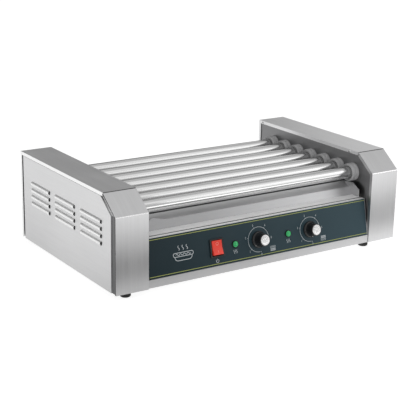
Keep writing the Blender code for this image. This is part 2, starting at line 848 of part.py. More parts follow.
def thermostat(name, x):
    """Control box behind the panel with the hollow collar that the knob's stem turns in."""
    wide, tall, deep = THERMOSTAT
    face = PANEL_SHEET - SHEET - GAP
    low = (x - wide / 2, CONTROL_HEIGHT - tall / 2, face - deep)
    high = (x + wide / 2, CONTROL_HEIGHT + tall / 2, face)
    body = box(name, low, high, ZINC, panel)
    where = (x, CONTROL_HEIGHT, 0)
    collar = rod(
        f"{name}_collar", where, STEM_BORE + COLLAR_WALL, face - 0.002, 0.0003,
        panel, FLAT,
    )
    hole = rod(f"{name}_bore", where, STEM_BORE, -KNOB_STEM - 0.001, 0.004, panel, FLAT)
    return cut(join(body, collar), hole)


def knob(name, x, setting):
    """Skirted knob with the control stem behind it."""
    base = 0.0007
    tip = KNOB_LENGTH
    profile = [
        (0, tip), (KNOB_TIP_RADIUS - 0.0006, tip), (KNOB_TIP_RADIUS, tip - 0.0006),
        (KNOB_BODY_RADIUS, KNOB_SKIRT + 0.0016), (KNOB_RADIUS, KNOB_SKIRT),
        (KNOB_RADIUS, base), (KNOB_STEM_RADIUS, base), (KNOB_STEM_RADIUS, -KNOB_STEM),
        (0, -KNOB_STEM),
    ]
    turn = (0, 0, DIAL_ZERO - setting * DIAL_STEP)
    where = (x, CONTROL_HEIGHT, 0)
    turning = turned(name, profile, BLACK, panel, where, turn)
    pointer = box(
        f"{name}_pointer",
        (KNOB_BODY_RADIUS - 0.0020, -POINTER_WIDTH / 2, KNOB_SKIRT - 0.0010),
        (KNOB_RADIUS - 0.0004, POINTER_WIDTH / 2, KNOB_SKIRT + POINTER_HEIGHT),
        parent=panel,
    )
    pointer.location, pointer.rotation_euler = where, turn
    return join(turning, pointer)


def power_switch():
    """Framed rocker switch: the housing, and the rocker on its cross pin."""
    half = [size / 2 for size in BEZEL[:2]]
    low_z = 0.0003
    bezel = box(
        "switch_housing",
        (SWITCH_X - half[0], CONTROL_HEIGHT - half[1], low_z),
        (SWITCH_X + half[0], CONTROL_HEIGHT + half[1], low_z + BEZEL[2]),
        BLACK, panel,
    )
    half = [(size - GAP) / 2 for size in SWITCH_BODY[:2]]
    body = box(
        "switch_housing_body",
        (SWITCH_X - half[0], CONTROL_HEIGHT - half[1], -SWITCH_BODY[2]),
        (SWITCH_X + half[0], CONTROL_HEIGHT + half[1], low_z + BEZEL[2] / 2),
        parent=panel,
    )
    half = [size / 2 + GAP for size in ROCKER]
    well = box(
        "switch_housing_well",
        (SWITCH_X - half[0], CONTROL_HEIGHT - half[1] - 0.0004, -0.0100),
        (SWITCH_X + half[0], CONTROL_HEIGHT + half[1] + 0.0004, 0.010),
        parent=panel,
    )
    cut(join(bezel, body), well)
    reach = ROCKER[1] / 2
    rise = reach * math.tan(ROCKER_TILT)
    valley = ROCKER_HEIGHT - ROCKER_PIVOT
    outline = [
        (-reach * 0.96, valley + rise), (-reach * 0.98, -0.0010), (-reach * 0.55, -ROCKER_DEPTH),
        (reach * 0.55, -ROCKER_DEPTH), (reach * 0.98, -0.0010), (reach * 0.96, valley + rise),
        (0, valley),
    ]
    turn = Matrix.Rotation(-ROCKER_TILT, 3, "X") @ ACROSS_X.to_matrix()
    rocker = slab(
        "switch_rocker", [outline], -ROCKER[0] / 2, ROCKER[0] / 2, RED, panel,
        turn.to_euler(),
    )
    rocker.location = (SWITCH_X, CONTROL_HEIGHT, ROCKER_PIVOT)


def lamp(name, x):
    """Round pilot lamp with a domed lens and a stem through the panel."""
    flange = 0.0016
    base = 0.0003
    steps = 4
    dome = []
    for i in range(steps + 1):
        turn = math.pi / 2 * i / steps
        dome.append(
            (
                (LAMP_RADIUS - 0.0004) * math.sin(turn),
                flange + (LAMP_DOME - flange) * math.cos(turn),
            )
        )
    profile = dome + [
        (LAMP_RADIUS, flange), (LAMP_RADIUS, base), (LAMP_STEM_RADIUS, base),
        (LAMP_STEM_RADIUS, -LAMP_STEM), (0, -LAMP_STEM),
    ]
    return turned(name, profile, GREEN, panel, (x, CONTROL_HEIGHT, 0), FLAT)


# Drip tray


def tray_end(name, x, side):
    """End wall of the tray, taller behind the lip, with its front top corner cut off."""
    top = TRAY_Z + TRAY_END_RISE
    outline = [
        (TRAY_LIP_Y, TRAY_Z), (TRAY_BACK_Y, TRAY_Z), (TRAY_BACK_Y, TRAY_Z + TRAY_REAR_RISE),
        (TRAY_FLANGE_Y + 0.010, top - 0.004), (TRAY_FACE_Y, top), (TRAY_LIP_Y, top - 0.010),
    ]
    low, high = sorted((x, x - side * SHEET))
    return slab(name, [outline], low, high)


def tray_ear():
    """Corner of the front wall at the left end, which stands up past the fold."""
    lean = math.atan2(TRAY_BEND_Y - TRAY_FACE_Y, TRAY_BEND_RISE)
    fold = math.hypot(TRAY_BEND_Y - TRAY_FACE_Y, TRAY_BEND_RISE)
    radius = 0.012
    top = fold + 0.0055
    corner = TRAY_EAR_X - 0.0215
    outline = [(TRAY_EAR_X, fold - 0.004), (TRAY_EAR_X, fold), (corner, top)]
    for i in range(1, 7):
        turn = math.pi / 2 * i / 6
        outline.append(
            (corner - radius * math.sin(turn), top - radius * (1 - math.cos(turn)))
        )
    outline.append((corner - radius, fold - 0.010))
    turn = Matrix.Rotation(math.pi / 2 - lean, 3, "X").to_euler()
    ear = slab("drip_tray_ear", [outline], -0.0009, 0.0003, rotation=turn)
    ear.location = (0, TRAY_FACE_Y, TRAY_Z)
    return ear


def drip_tray():
    """Sliding pan: floor and front wall in one folded sheet, with welded end walls."""
    path = [
        (TRAY_BACK_Y, TRAY_Z + TRAY_REAR_RISE), (TRAY_BACK_Y, TRAY_Z),
        (TRAY_LIP_Y, TRAY_Z),
    ]
    pan = bent_sheet("drip_tray", path, TRAY_LEFT, TRAY_RIGHT, BRUSHED)
    wall_path = [
        (TRAY_FACE_Y, TRAY_Z + SHEET / 3), (TRAY_BEND_Y, TRAY_Z + TRAY_BEND_RISE),
        (TRAY_FLANGE_Y, TRAY_Z + TRAY_FLANGE_RISE),
    ]
    wall = bent_sheet(
        "drip_tray_wall", wall_path, TRAY_LEFT + SHEET / 2, TRAY_RIGHT - SHEET / 2
    )
    right = tray_end("drip_tray_right", TRAY_RIGHT, 1)
    left = tray_end("drip_tray_left", TRAY_LEFT, -1)
    return join(pan, wall, right, left, tray_ear())


# Small parts


def foot(name, x, y):
    profile = [
        (0, 0), (FOOT_RADIUS - 0.0015, 0), (FOOT_RADIUS, -0.0020),
        (FOOT_RADIUS, -FOOT_HEIGHT + 0.0015), (FOOT_RADIUS - 0.0015, -FOOT_HEIGHT),
        (0, -FOOT_HEIGHT),
    ]
    return turned(name, profile, RUBBER, frame, (x, y, -GAP))


def feet():
    back = HOUSING_DEPTH - FOOT_INSET_BACK
    for side, x in (
        ("left", FOOT_INSET_LEFT - WIDTH / 2), ("right", WIDTH / 2 - FOOT_INSET_RIGHT)
    ):
        foot(f"front_{side}_foot", x, FOOT_INSET_FRONT)
        foot(f"back_{side}_foot", x, back)


def cable_gland():
    """Gland for the mains lead in the back panel."""
    outside = GLAND_LENGTH
    profile = [
        (GLAND_BORE, outside), (GLAND_NECK, outside), (GLAND_RADIUS, outside - 0.003),
        (GLAND_RADIUS, GAP), (GLAND_NECK, GAP), (GLAND_NECK, -0.008), (GLAND_BORE, -0.008),
    ]
    where = (GLAND_X, HOUSING_DEPTH, GLAND_Z)
    turned("cable_gland", profile, BLACK, frame, where, (-math.pi / 2, 0, 0), closed=True)


def terminal_block():
    wide, deep, high = TERMINAL_BLOCK
    x, y = GLAND_X - TERMINAL_INSET[0], HOUSING_DEPTH - TERMINAL_INSET[1]
    low = SHEET + GAP
    block = box(
        "terminal_block",
        (x - wide / 2, y - deep / 2, low), (x + wide / 2, y + deep / 2, low + high),
        CERAMIC,
    )
    grooves = [
        box(
            f"terminal_block_groove_{i}",
            (x - wide / 2 + (i + 1) * wide / 5 - 0.001, y - deep, low + high * 0.6),
            (x - wide / 2 + (i + 1) * wide / 5 + 0.001, y + deep, low + high + 0.001),
        )
        for i in range(4)
    ]
    return cut(block, *grooves)


# Assembly


def stand_on_floor():
    """Places the frame so that the origin is under the middle of the whole grill."""
    bpy.context.view_layer.update()
    graph = bpy.context.evaluated_depsgraph_get()
    low = Vector((math.inf,) * 3)
    high = -low
    for obj in pieces.objects:
        if obj.type == "EMPTY":
            continue
        shape = obj.evaluated_get(graph)
        data = shape.to_mesh()
        for vertex in data.vertices:
            spot = shape.matrix_world @ vertex.co
            low = Vector(map(min, low, spot))
            high = Vector(map(max, high, spot))
        shape.to_mesh_clear()
    middle = (low + high) / 2
    frame.location = (-middle.x, -middle.y, -low.z)
    bpy.context.view_layer.update()


end_housing("left", -1)
end_housing("right", 1)
base_pan()
front_panel()
control_fascia()
tray_deck()
back_panel()
rollers()
heaters()
drive()
thermostat("front_thermostat", KNOB_X[0])
thermostat("rear_thermostat", KNOB_X[1])
knob("front_knob", KNOB_X[0], FRONT_KNOB_SETTING)
knob("rear_knob", KNOB_X[1], 0)
power_switch()
lamp("front_lamp", LAMP_X[0])
lamp("rear_lamp", LAMP_X[1])
drip_tray()
feet()
cable_gland()
terminal_block()
stand_on_floor()
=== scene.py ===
"""Looks for the hot dog roller grill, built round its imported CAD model.

Lengths are in metres and angles in radians, in the CAD model's own frame.
"""

import json
import math

import bmesh
import bpy
from mathutils import Matrix, Vector


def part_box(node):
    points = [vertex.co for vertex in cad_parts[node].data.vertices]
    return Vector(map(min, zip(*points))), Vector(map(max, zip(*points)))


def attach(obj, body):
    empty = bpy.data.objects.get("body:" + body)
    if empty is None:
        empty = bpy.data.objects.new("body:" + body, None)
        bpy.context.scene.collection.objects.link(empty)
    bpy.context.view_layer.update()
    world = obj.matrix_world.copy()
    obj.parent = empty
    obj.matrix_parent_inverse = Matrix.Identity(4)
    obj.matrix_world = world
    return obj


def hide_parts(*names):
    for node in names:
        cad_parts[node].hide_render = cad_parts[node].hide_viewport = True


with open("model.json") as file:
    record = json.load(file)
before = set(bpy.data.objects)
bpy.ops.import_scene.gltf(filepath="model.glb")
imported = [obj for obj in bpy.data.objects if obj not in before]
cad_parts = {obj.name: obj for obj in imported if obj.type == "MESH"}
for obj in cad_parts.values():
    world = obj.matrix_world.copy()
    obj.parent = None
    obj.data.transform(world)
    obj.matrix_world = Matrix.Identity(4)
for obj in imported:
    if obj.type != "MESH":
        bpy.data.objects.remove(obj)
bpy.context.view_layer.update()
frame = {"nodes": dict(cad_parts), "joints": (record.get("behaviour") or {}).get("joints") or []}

# Where the body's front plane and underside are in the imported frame
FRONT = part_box("left_front_cover")[0][1]
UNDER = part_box("left_front_cover")[0][2]
INNER_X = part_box("right_front_cover")[0][0]
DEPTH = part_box("left_top_cover")[1][1] - FRONT
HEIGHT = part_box("left_top_cover")[1][2] - UNDER

# End housings; the slope's ends are (depth, height)
END_WIDTH = 0.060
OUTER_X = INNER_X + END_WIDTH
SLOPE_TOP = (0.0410, 0.1600)
SLOPE_FOOT = (0.0, 0.1290)

# Sloping panel; its foot is (depth, height)
PANEL_TILT = math.radians(12.2)
PANEL_FOOT = (0.0015, 0.0150)
PANEL_HEIGHT = 0.066
CONTROL_HEIGHT = 0.0303
SWITCH_X = -0.0970
LAMP_X = {"front_lamp": -0.0595, "rear_lamp": 0.0520}
KNOB_X = {"front_knob": -0.0105, "rear_knob": 0.1005}
KNOB_SETTING = {"front_knob": 1, "rear_knob": 0}
DIAL_ZERO = math.radians(-81)
DIAL_STEP = math.radians(56)

# Rollers, sprockets and bushings; bore, root, ring, recess and spigot are radii
ROLLER_COUNT = 7
ROLLER_RADIUS = 0.0110
ROLLER_BORE = 0.0098
SPROCKET_TEETH = 14
SPROCKET_ROOT = 0.01236
SPROCKET_WIDTH = 0.0040
SPROCKET_X = -0.2494
BUSHING_BORE = 0.0115
BUSHING_RING = 0.0161
BUSHING_RECESS = 0.0134
BUSHING_SPIGOT = 0.0133
BUSHING_SPIGOT_LENGTH = 0.0039
BUSHING_FLANGE_LENGTH = 0.0055
BUSHING_RISE = 0.0140

# Share of a normal along an axis above which a face counts as facing that way
FACING = 0.8


def at(x, y, z):
    """A point at x, a depth y behind the front plane and a height z over the underside."""
    return Vector((x, FRONT + y, UNDER + z))


PANEL = (
    Matrix.Translation(at(0, *PANEL_FOOT))
    @ Matrix.Rotation(math.pi / 2 - PANEL_TILT, 4, "X")
)
TO_X = Matrix.Rotation(math.pi / 2, 4, "Y")


# Materials


class Look:
    """A Principled material with short helpers for its procedural nodes."""

    def __init__(self, name, colour, roughness, metallic=0.0, **inputs):
        self.material = bpy.data.materials.new(name)
        self.material.use_nodes = True
        self.tree = self.material.node_tree
        self.shader = self.tree.nodes["Principled BSDF"]
        self.colour, self.roughness = colour, roughness
        self.shader.inputs["Base Color"].default_value = (*colour, 1)
        self.shader.inputs["Roughness"].default_value = roughness
        self.shader.inputs["Metallic"].default_value = metallic
        for key, value in inputs.items():
            self.shader.inputs[key.replace("_", " ")].default_value = value
        self.place = self.node("ShaderNodeTexCoord").outputs["Object"]
        self.height = None

    def node(self, kind, **settings):
        made = self.tree.nodes.new(kind)
        for key, value in settings.items():
            setattr(made, key, value)
        return made

    def link(self, source, target):
        self.tree.links.new(source, target)

    def noise(self, scale, stretch=(1, 1, 1), detail=3.0, rough=0.55):
        mapping = self.node("ShaderNodeMapping")
        mapping.inputs["Scale"].default_value = stretch
        self.link(self.place, mapping.inputs["Vector"])
        made = self.node("ShaderNodeTexNoise")
        made.inputs["Scale"].default_value = scale
        made.inputs["Detail"].default_value = detail
        made.inputs["Roughness"].default_value = rough
        self.link(mapping.outputs["Vector"], made.inputs["Vector"])
        return made.outputs["Fac"]

    def math(self, operation, first, second, third=0.0):
        made = self.node("ShaderNodeMath", operation=operation)
        for socket, value in zip(made.inputs, (first, second, third)):
            if isinstance(value, (int, float)):
                socket.default_value = value
            else:
                self.link(value, socket)
        return made.outputs[0]

    def blend(self, first, second, share):
        """Adds a share of the first value to the rest of the second."""
        return self.math(
            "ADD",
            self.math("MULTIPLY", first, share),
            self.math("MULTIPLY", second, 1 - share),
        )

    def mapped(self, value, low, high, start=0.3, end=0.7):
        made = self.node("ShaderNodeMapRange")
        limits = {"From Min": start, "From Max": end, "To Min": low, "To Max": high}
        for key, number in limits.items():
            made.inputs[key].default_value = number
        self.link(value, made.inputs["Value"])
        return made.outputs["Result"]

    def vary_roughness(self, value, spread, start=0.3, end=0.7):
        rough = self.mapped(
            value, self.roughness - spread, self.roughness + spread, start, end
        )
        self.link(rough, self.shader.inputs["Roughness"])

    def vary_colour(self, value, darker, lighter=1.0, start=0.3, end=0.7, tint=None):
        ramp = self.node("ShaderNodeValToRGB")
        ramp.color_ramp.elements[0].position = start
        ramp.color_ramp.elements[1].position = end
        low = tint or tuple(c * darker for c in self.colour)
        high = tuple(min(1, c * lighter) for c in self.colour)
        ramp.color_ramp.elements[0].color = (*low, 1)
        ramp.color_ramp.elements[1].color = (*high, 1)
        self.link(value, ramp.inputs["Fac"])
        self.link(ramp.outputs["Color"], self.shader.inputs["Base Color"])

    def lift(self, factor, start, end):
        """Painted light: lightens the colour toward the right end of the object."""
        apart = self.node("ShaderNodeSeparateXYZ")
        self.link(self.place, apart.inputs[0])
        share = self.mapped(apart.outputs[0], 1.0, factor, start, end)
        made = self.node("ShaderNodeVectorMath", operation="MULTIPLY")
        base = self.shader.inputs["Base Color"]
        self.link(base.links[0].from_socket, made.inputs[0])
        self.link(share, made.inputs[1])
        self.link(made.outputs["Vector"], base)

    def bump(self, value, strength, distance):
        made = self.node("ShaderNodeBump")
        made.inputs["Strength"].default_value = strength
        made.inputs["Distance"].default_value = distance
        self.link(value, made.inputs["Height"])
        self.link(made.outputs["Normal"], self.shader.inputs["Normal"])


GRAIN_LOW, GRAIN_HIGH = 0.36, 0.64
# Where the painted light toward the right end starts and ends, along object X
PAINTED_LIFT_START, PAINTED_LIFT_END = -0.10, 0.24


def brushed(name, colour, roughness, fine, spread=0.06, streak=0.90, strength=0.10,
            metallic=1.0, lift=1.0):
    """Brushed sheet metal whose grain lines vary along the axes that fine marks."""
    look = Look(name, colour, roughness, metallic)
    close = tuple(1.0 if axis else 0.004 for axis in fine)
    wide = tuple(1.0 if axis else 0.05 for axis in fine)
    lines = look.noise(2600, close, 2.0, 0.7)
    bands = look.noise(160, wide, 3.0, 0.6)
    cloud = look.noise(9, (1, 1, 1), 3.0, 0.5)
    both = look.blend(lines, bands, 0.6)
    mixed = look.blend(both, cloud, 0.7)
    look.vary_colour(mixed, streak, 1.03, GRAIN_LOW, GRAIN_HIGH)
    # Painted light, when asked for: the sheet grows lighter toward its right end.
    if lift != 1.0:
        look.lift(lift, PAINTED_LIFT_START, PAINTED_LIFT_END)
    look.vary_roughness(mixed, spread, GRAIN_LOW, GRAIN_HIGH)
    look.bump(both, strength, 0.00003)
    return look.material


def moulded(name, colour, roughness, grain=900, strength=0.12, **inputs):
    """Moulded plastic or rubber with a fine grain and slight wear of its gloss."""
    look = Look(name, colour, roughness, 0.0, **inputs)
    fine = look.noise(grain, (1, 1, 1), 2.0, 0.6)
    worn = look.noise(45, (1, 1, 1), 4.0, 0.6)
    look.vary_roughness(worn, 0.06)
    look.vary_colour(worn, 0.85, 1.12)
    look.bump(fine, strength, 0.00004)
    return look.material


RING_RADIANS_PER_METRE = 14000


def spun(name, colour, roughness, strength=0.25):
    """Turned metal with fine rings about an object's own Z."""
    look = Look(name, colour, roughness, 1.0)
    apart = look.node("ShaderNodeSeparateXYZ")
    look.link(look.place, apart.inputs[0])
    squares = [look.math("MULTIPLY", side, side) for side in apart.outputs[:2]]
    reach = look.math("SQRT", look.math("ADD", *squares), 0)
    rings = look.math("SINE", look.math("MULTIPLY", reach, RING_RADIANS_PER_METRE), 0)
    cloud = look.noise(400, (1, 1, 1), 3.0, 0.6)
    look.vary_roughness(cloud, 0.05)
    look.vary_colour(cloud, 0.90, 1.05)
    look.bump(rings, strength, 0.00002)
    return look.material


def film(name, left, right, roughness):
    """Printed plastic film with painted light, lighter toward the right, and a fine matt grain.
    """
    look = Look(name, left, roughness, 0.0, Specular_IOR_Level=0.25)
    apart = look.node("ShaderNodeSeparateXYZ")
    look.link(look.place, apart.inputs[0])
    cloud = look.noise(14, (1, 1, 1), 3.0, 0.6)
    drift = look.math("MULTIPLY_ADD", cloud, 0.06, apart.outputs[0])
    share = look.mapped(drift, 0.0, 1.0, -0.22, 0.26)
    look.colour = right
    look.vary_colour(share, 1.0, start=0.0, end=1.0, tint=left)
    look.vary_roughness(look.noise(60), 0.05)
    look.bump(look.noise(2400, (1, 1, 1), 2.0, 0.6), 0.10, 0.00003)
    return look.material


STEEL_COVER = brushed("cover_steel", (0.66, 0.66, 0.665), 0.34, (1, 0, 0))
# Painted light: a lighter copy of the cover steel for the top covers
STEEL_TOP_LIT = brushed("top_steel_painted_light", (0.94, 0.94, 0.945), 0.34, (1, 0, 0))
STEEL_SIDE = brushed("side_steel", (0.74, 0.74, 0.745), 0.36, (0, 0, 1))
STEEL_CROSS = brushed("cross_steel", (0.66, 0.66, 0.665), 0.33, (0, 1, 1))
STEEL_STRIP = brushed("strip_steel", (0.58, 0.58, 0.585), 0.36, (0, 1, 1))
STEEL_BACK = brushed("back_steel", (0.64, 0.64, 0.645), 0.36, (0, 0, 1))
# Painted shade: dark steel for the bearing plates, which lie in shade
STEEL_PLATE_SHADE = brushed("plate_steel", (0.30, 0.30, 0.305), 0.38, (0, 0, 1), 0.05, 0.86)
# Painted highlight: near-white steel for the bright rims along the housings' edges
STEEL_RIM_HIGHLIGHT = brushed("rim_steel_painted_highlight", (0.97, 0.97, 0.97), 0.34, (0, 0, 1), 0.04, 0.94)
# Painted highlight: brighter, glossier steel along the rounded folds
STEEL_BEND_HIGHLIGHT = brushed("bend_steel_painted_highlight", (0.99, 0.99, 0.99), 0.22, (1, 0, 0), 0.03, 0.96)
STEEL_SHADE = brushed("shade_steel", (0.20, 0.20, 0.205), 0.42, (0, 0, 1), 0.05, 0.86)
# Painted shade and light: darker than the cover steel for the shade under the rollers, lighter
# toward the right
STEEL_TRAY_SHADE_AND_LIGHT = brushed("tray_steel_painted_shade_and_light", (0.37, 0.37, 0.375), 0.38, (0, 1, 1), lift=1.7)
# Painted highlight: near-white steel for the louvre blades
STEEL_BLADE_HIGHLIGHT = brushed("blade_steel_painted_highlight", (0.97, 0.97, 0.97), 0.40, (0, 0, 1), 0.04, 0.95)
# Painted light: a lighter copy of the tray steel for the flange's upward faces, lighter again
# toward the right
STEEL_FLANGE_LIT = brushed("flange_steel_painted_light", (0.70, 0.70, 0.705), 0.45, (0, 1, 1), lift=1.4)
# Painted shade: the tray's floor lies dark under the rollers
STEEL_TROUGH_SHADE = brushed("trough_steel_painted_shade", (0.17, 0.17, 0.17), 0.45, (0, 1, 1))
# Painted highlight: near-white steel for the tray's lip and the ledge over the panel
STEEL_LEDGE_HIGHLIGHT = brushed(
    "ledge_steel_painted_highlight", (0.97, 0.97, 0.97), 0.40, (0, 1, 1), 0.05, 0.95, metallic=0.15
)
STEEL_ROLLER = brushed(
    "roller_steel", (0.74, 0.74, 0.74), 0.12, (1, 0, 0), 0.03, 0.95, 0.05
)
STEEL_SCREW = spun("screw_steel", (0.62, 0.62, 0.62), 0.28)
SILVER_CAP = spun("silver_cap", (0.80, 0.80, 0.80), 0.26, strength=0.06)
ZINC = brushed("zinc_sheet", (0.50, 0.50, 0.49), 0.45, (0, 0, 0), 0.10, 0.75)
CHAIN_STEEL = moulded("chain_steel", (0.10, 0.095, 0.09), 0.42, 1500, 0.5, Metallic=0.9)
SHEATH = moulded("heater_sheath", (0.24, 0.20, 0.17), 0.55, 700, 0.3, Metallic=0.7)
BUSHING_GREY = moulded("bushing_grey", (0.43, 0.43, 0.435), 0.48, 1100, 0.10)
BLACK_GLOSS = moulded("black_gloss", (0.010, 0.010, 0.011), 0.20, 1400, 0.05)
# Black for matt parts, and also painted shade in the seams, the gap by the tray's lip and the
# screws' cross recesses
BLACK_MATT_AND_SHADE = moulded("black_matt_and_painted_shade", (0.016, 0.016, 0.017), 0.45, 900, 0.25)
BLACK_RUBBER = moulded("black_rubber", (0.018, 0.018, 0.018), 0.78, 500, 0.40)
CERAMIC = moulded("terminal_ceramic", (0.58, 0.56, 0.50), 0.60, 400, 0.30)
# Its faint emission is a painted glow that keeps the red bright; the rocker is no lamp.
ROCKER_RED_GLOW = moulded(
    "rocker_red", (0.80, 0.045, 0.025), 0.22, 1600, 0.04,
    Emission_Color=(0.9, 0.06, 0.03, 1), Emission_Strength=0.10,
)
ROCKER_MARK = moulded("rocker_mark", (0.93, 0.30, 0.24), 0.30, 1600, 0.04)
LAMP_GREEN = moulded(
    "lamp_green", (0.006, 0.37, 0.10), 0.10, 700, 0.05,
    Emission_Color=(0.01, 0.60, 0.16, 1), Emission_Strength=0.09, Coat_Weight=0.6,
)
# Painted light: the fascia film is darker at its left end and lighter at its right
FILM_PAINTED_LIGHT = film("fascia_film", (0.005, 0.018, 0.024), (0.034, 0.066, 0.082), 0.46)
PRINT_LINE = moulded("print_olive", (0.36, 0.40, 0.10), 0.40, 1600, 0.05)
PRINT_GREY = moulded("print_grey", (0.52, 0.56, 0.58), 0.42, 1600, 0.05)
PRINT_WHITE = moulded("print_white", (0.88, 0.88, 0.87), 0.40, 1600, 0.05)


# Mesh helpers


def keep(name, bm, look, body, matrix=None, sharp=35, replaces=()):
    """Turns a bmesh into a finished piece that rides on a CAD body."""
    data = bpy.data.meshes.new(name)
    bm.normal_update()
    bm.to_mesh(data)
    bm.free()
    data.materials.append(look)
    data.shade_smooth()
    data.set_sharp_from_angle(angle=math.radians(sharp))
    made = bpy.data.objects.new(name, data)
    bpy.context.scene.collection.objects.link(made)
    if matrix is not None:
        made.matrix_world = matrix
    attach(made, body)
    if replaces:
        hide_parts(*replaces)
    return made


def round_edges(bm, width, segments, low, high=180, slot=-1):
    """Rounds the edges whose faces meet at between low and high degrees."""
    edges = [
        e for e in bm.edges
        if len(e.link_faces) == 2 and low < math.degrees(e.calc_face_angle(0)) < high
    ]
    bmesh.ops.bevel(
        bm, geom=edges, offset=width, segments=segments, affect="EDGES", profile=0.5,
        clamp_overlap=True, material=slot,
    )


def paint(piece, look, test):
    """Gives another material to the faces whose normal and centre pass a test."""
    slots = piece.data.materials
    if look.name not in slots:
        slots.append(look)
    index = slots.find(look.name)
    for face in piece.data.polygons:
        if test(face.normal, face.center):
            face.material_index = index


def refined(node, look, bevel, body="body", sharp=24, segments=2, bend=0.0,
            smooth=50, cut=None):
    """A CAD node's shape with merged faces, rounded edges and smooth shading.

    Edges sharper than sharp degrees are rounded by bevel. A bend rounds the folds more
    widely and paints a highlight along them in a brighter look, and cut is the height of
    an extra edge loop.
    """
    bm = bmesh.new()
    bm.from_mesh(frame["nodes"][node].data)
    bmesh.ops.remove_doubles(bm, verts=bm.verts, dist=2e-6)
    bmesh.ops.dissolve_limit(
        bm, angle_limit=math.radians(0.6), verts=bm.verts, edges=bm.edges
    )
    if cut:
        bmesh.ops.bisect_plane(
            bm, geom=bm.verts[:] + bm.edges[:] + bm.faces[:], plane_co=(0, 0, cut),
            plane_no=(0, 0, 1),
        )
    if bend:
        round_edges(bm, bend, segments=4, low=20, high=70, slot=1)
    round_edges(bm, bevel, segments, sharp)
    made = keep(f"{node}_skin", bm, look, body, sharp=smooth, replaces=(node,))
    # Painted highlight: the rounded folds take the brighter bend steel.
    if bend:
        made.data.materials.append(STEEL_BEND_HIGHLIGHT)
    weighted = made.modifiers.new("flat_faces", "WEIGHTED_NORMAL")
    weighted.keep_sharp = True
    weighted.weight = 90
    return made


def dress(node, look):
    """Gives a look to a CAD node that is shown as it is."""
    slots = frame["nodes"][node].data.materials
    slots.clear()
    slots.append(look)


def lathe(name, profile, look, body, matrix, steps=64, closed=False, replaces=()):
    """A profile (radius, height) turned about local Z."""
    bm = bmesh.new()
    points = [bm.verts.new((r, 0, h)) for r, h in profile]
    edges = [bm.edges.new(pair) for pair in zip(points, points[1:])]
    if closed:
        edges.append(bm.edges.new((points[-1], points[0])))
    bmesh.ops.spin(
        bm, geom=points + edges, cent=(0, 0, 0), axis=(0, 0, 1), dvec=(0, 0, 0),
        angle=2 * math.pi, steps=steps, use_merge=True,
    )
    bmesh.ops.remove_doubles(bm, verts=bm.verts, dist=1e-6)
    bmesh.ops.recalc_face_normals(bm, faces=bm.faces)
    return keep(name, bm, look, body, matrix, replaces=replaces)


def prism(bm, outline, low, high, matrix=Matrix.Identity(4)):
    """Adds a flat outline (u, v), extruded from low to high, to a bmesh."""
    lower = [bm.verts.new(matrix @ Vector((u, v, low))) for u, v in outline]
    face = bm.faces.new(lower)
    swept = bmesh.ops.extrude_face_region(bm, geom=[face])
    moved = [v for v in swept["geom"] if isinstance(v, bmesh.types.BMVert)]
    rise = matrix.to_3x3() @ Vector((0, 0, high - low))
    bmesh.ops.translate(bm, verts=moved, vec=rise)


def ribbon(bm, points, width, low, high, matrix=Matrix.Identity(4), closed=False):
    """Adds a flat line of even width through points (u, v) to a bmesh."""
    points = [Vector(p) for p in points]
    count = len(points)
    sides = []
    for i, point in enumerate(points):
        before = points[i - 1] if closed or i else point
        after = points[(i + 1) % count] if closed or i < count - 1 else point
        along = (after - before).normalized()
        across = Vector((-along.y, along.x)) * width / 2
        sides.append((point + across, point - across))
    rows = []
    for left, right in sides:
        rows.append(
            [
                bm.verts.new(matrix @ Vector((*p, h)))
                for p, h in ((left, high), (right, high), (right, low), (left, low))
            ]
        )
    pairs = list(zip(rows, rows[1:]))
    if closed:
        pairs.append((rows[-1], rows[0]))
    else:
        bm.faces.new(rows[0])
        bm.faces.new(reversed(rows[-1]))
    for first, second in pairs:
        for i in range(4):
            k = (i + 1) % 4
            bm.faces.new((first[i], second[i], second[k], first[k]))
    bmesh.ops.recalc_face_normals(bm, faces=bm.faces)


def arc(centre, radius, start, end, steps=40):
    """Points (u, v) along an arc from one angle to another."""
    turns = [start + (end - start) * i / steps for i in range(steps + 1)]
    return [
        (centre[0] + radius * math.cos(a), centre[1] + radius * math.sin(a))
        for a in turns
    ]


def rounded(centre, width, height, radius, steps=6):
    """Outline (u, v) of a rectangle with round corners."""
    outline = []
    corners = ((1, 1, 0), (-1, 1, 1), (-1, -1, 2), (1, -1, 3))
    for sx, sy, quarter in corners:
        middle = (
            centre[0] + sx * (width / 2 - radius), centre[1] + sy * (height / 2 - radius)
        )
        start = quarter * math.pi / 2
        outline += arc(middle, radius, start, start + math.pi / 2, steps)
    return outline


# Housings, chassis and tray: the CAD shapes with rolled edges


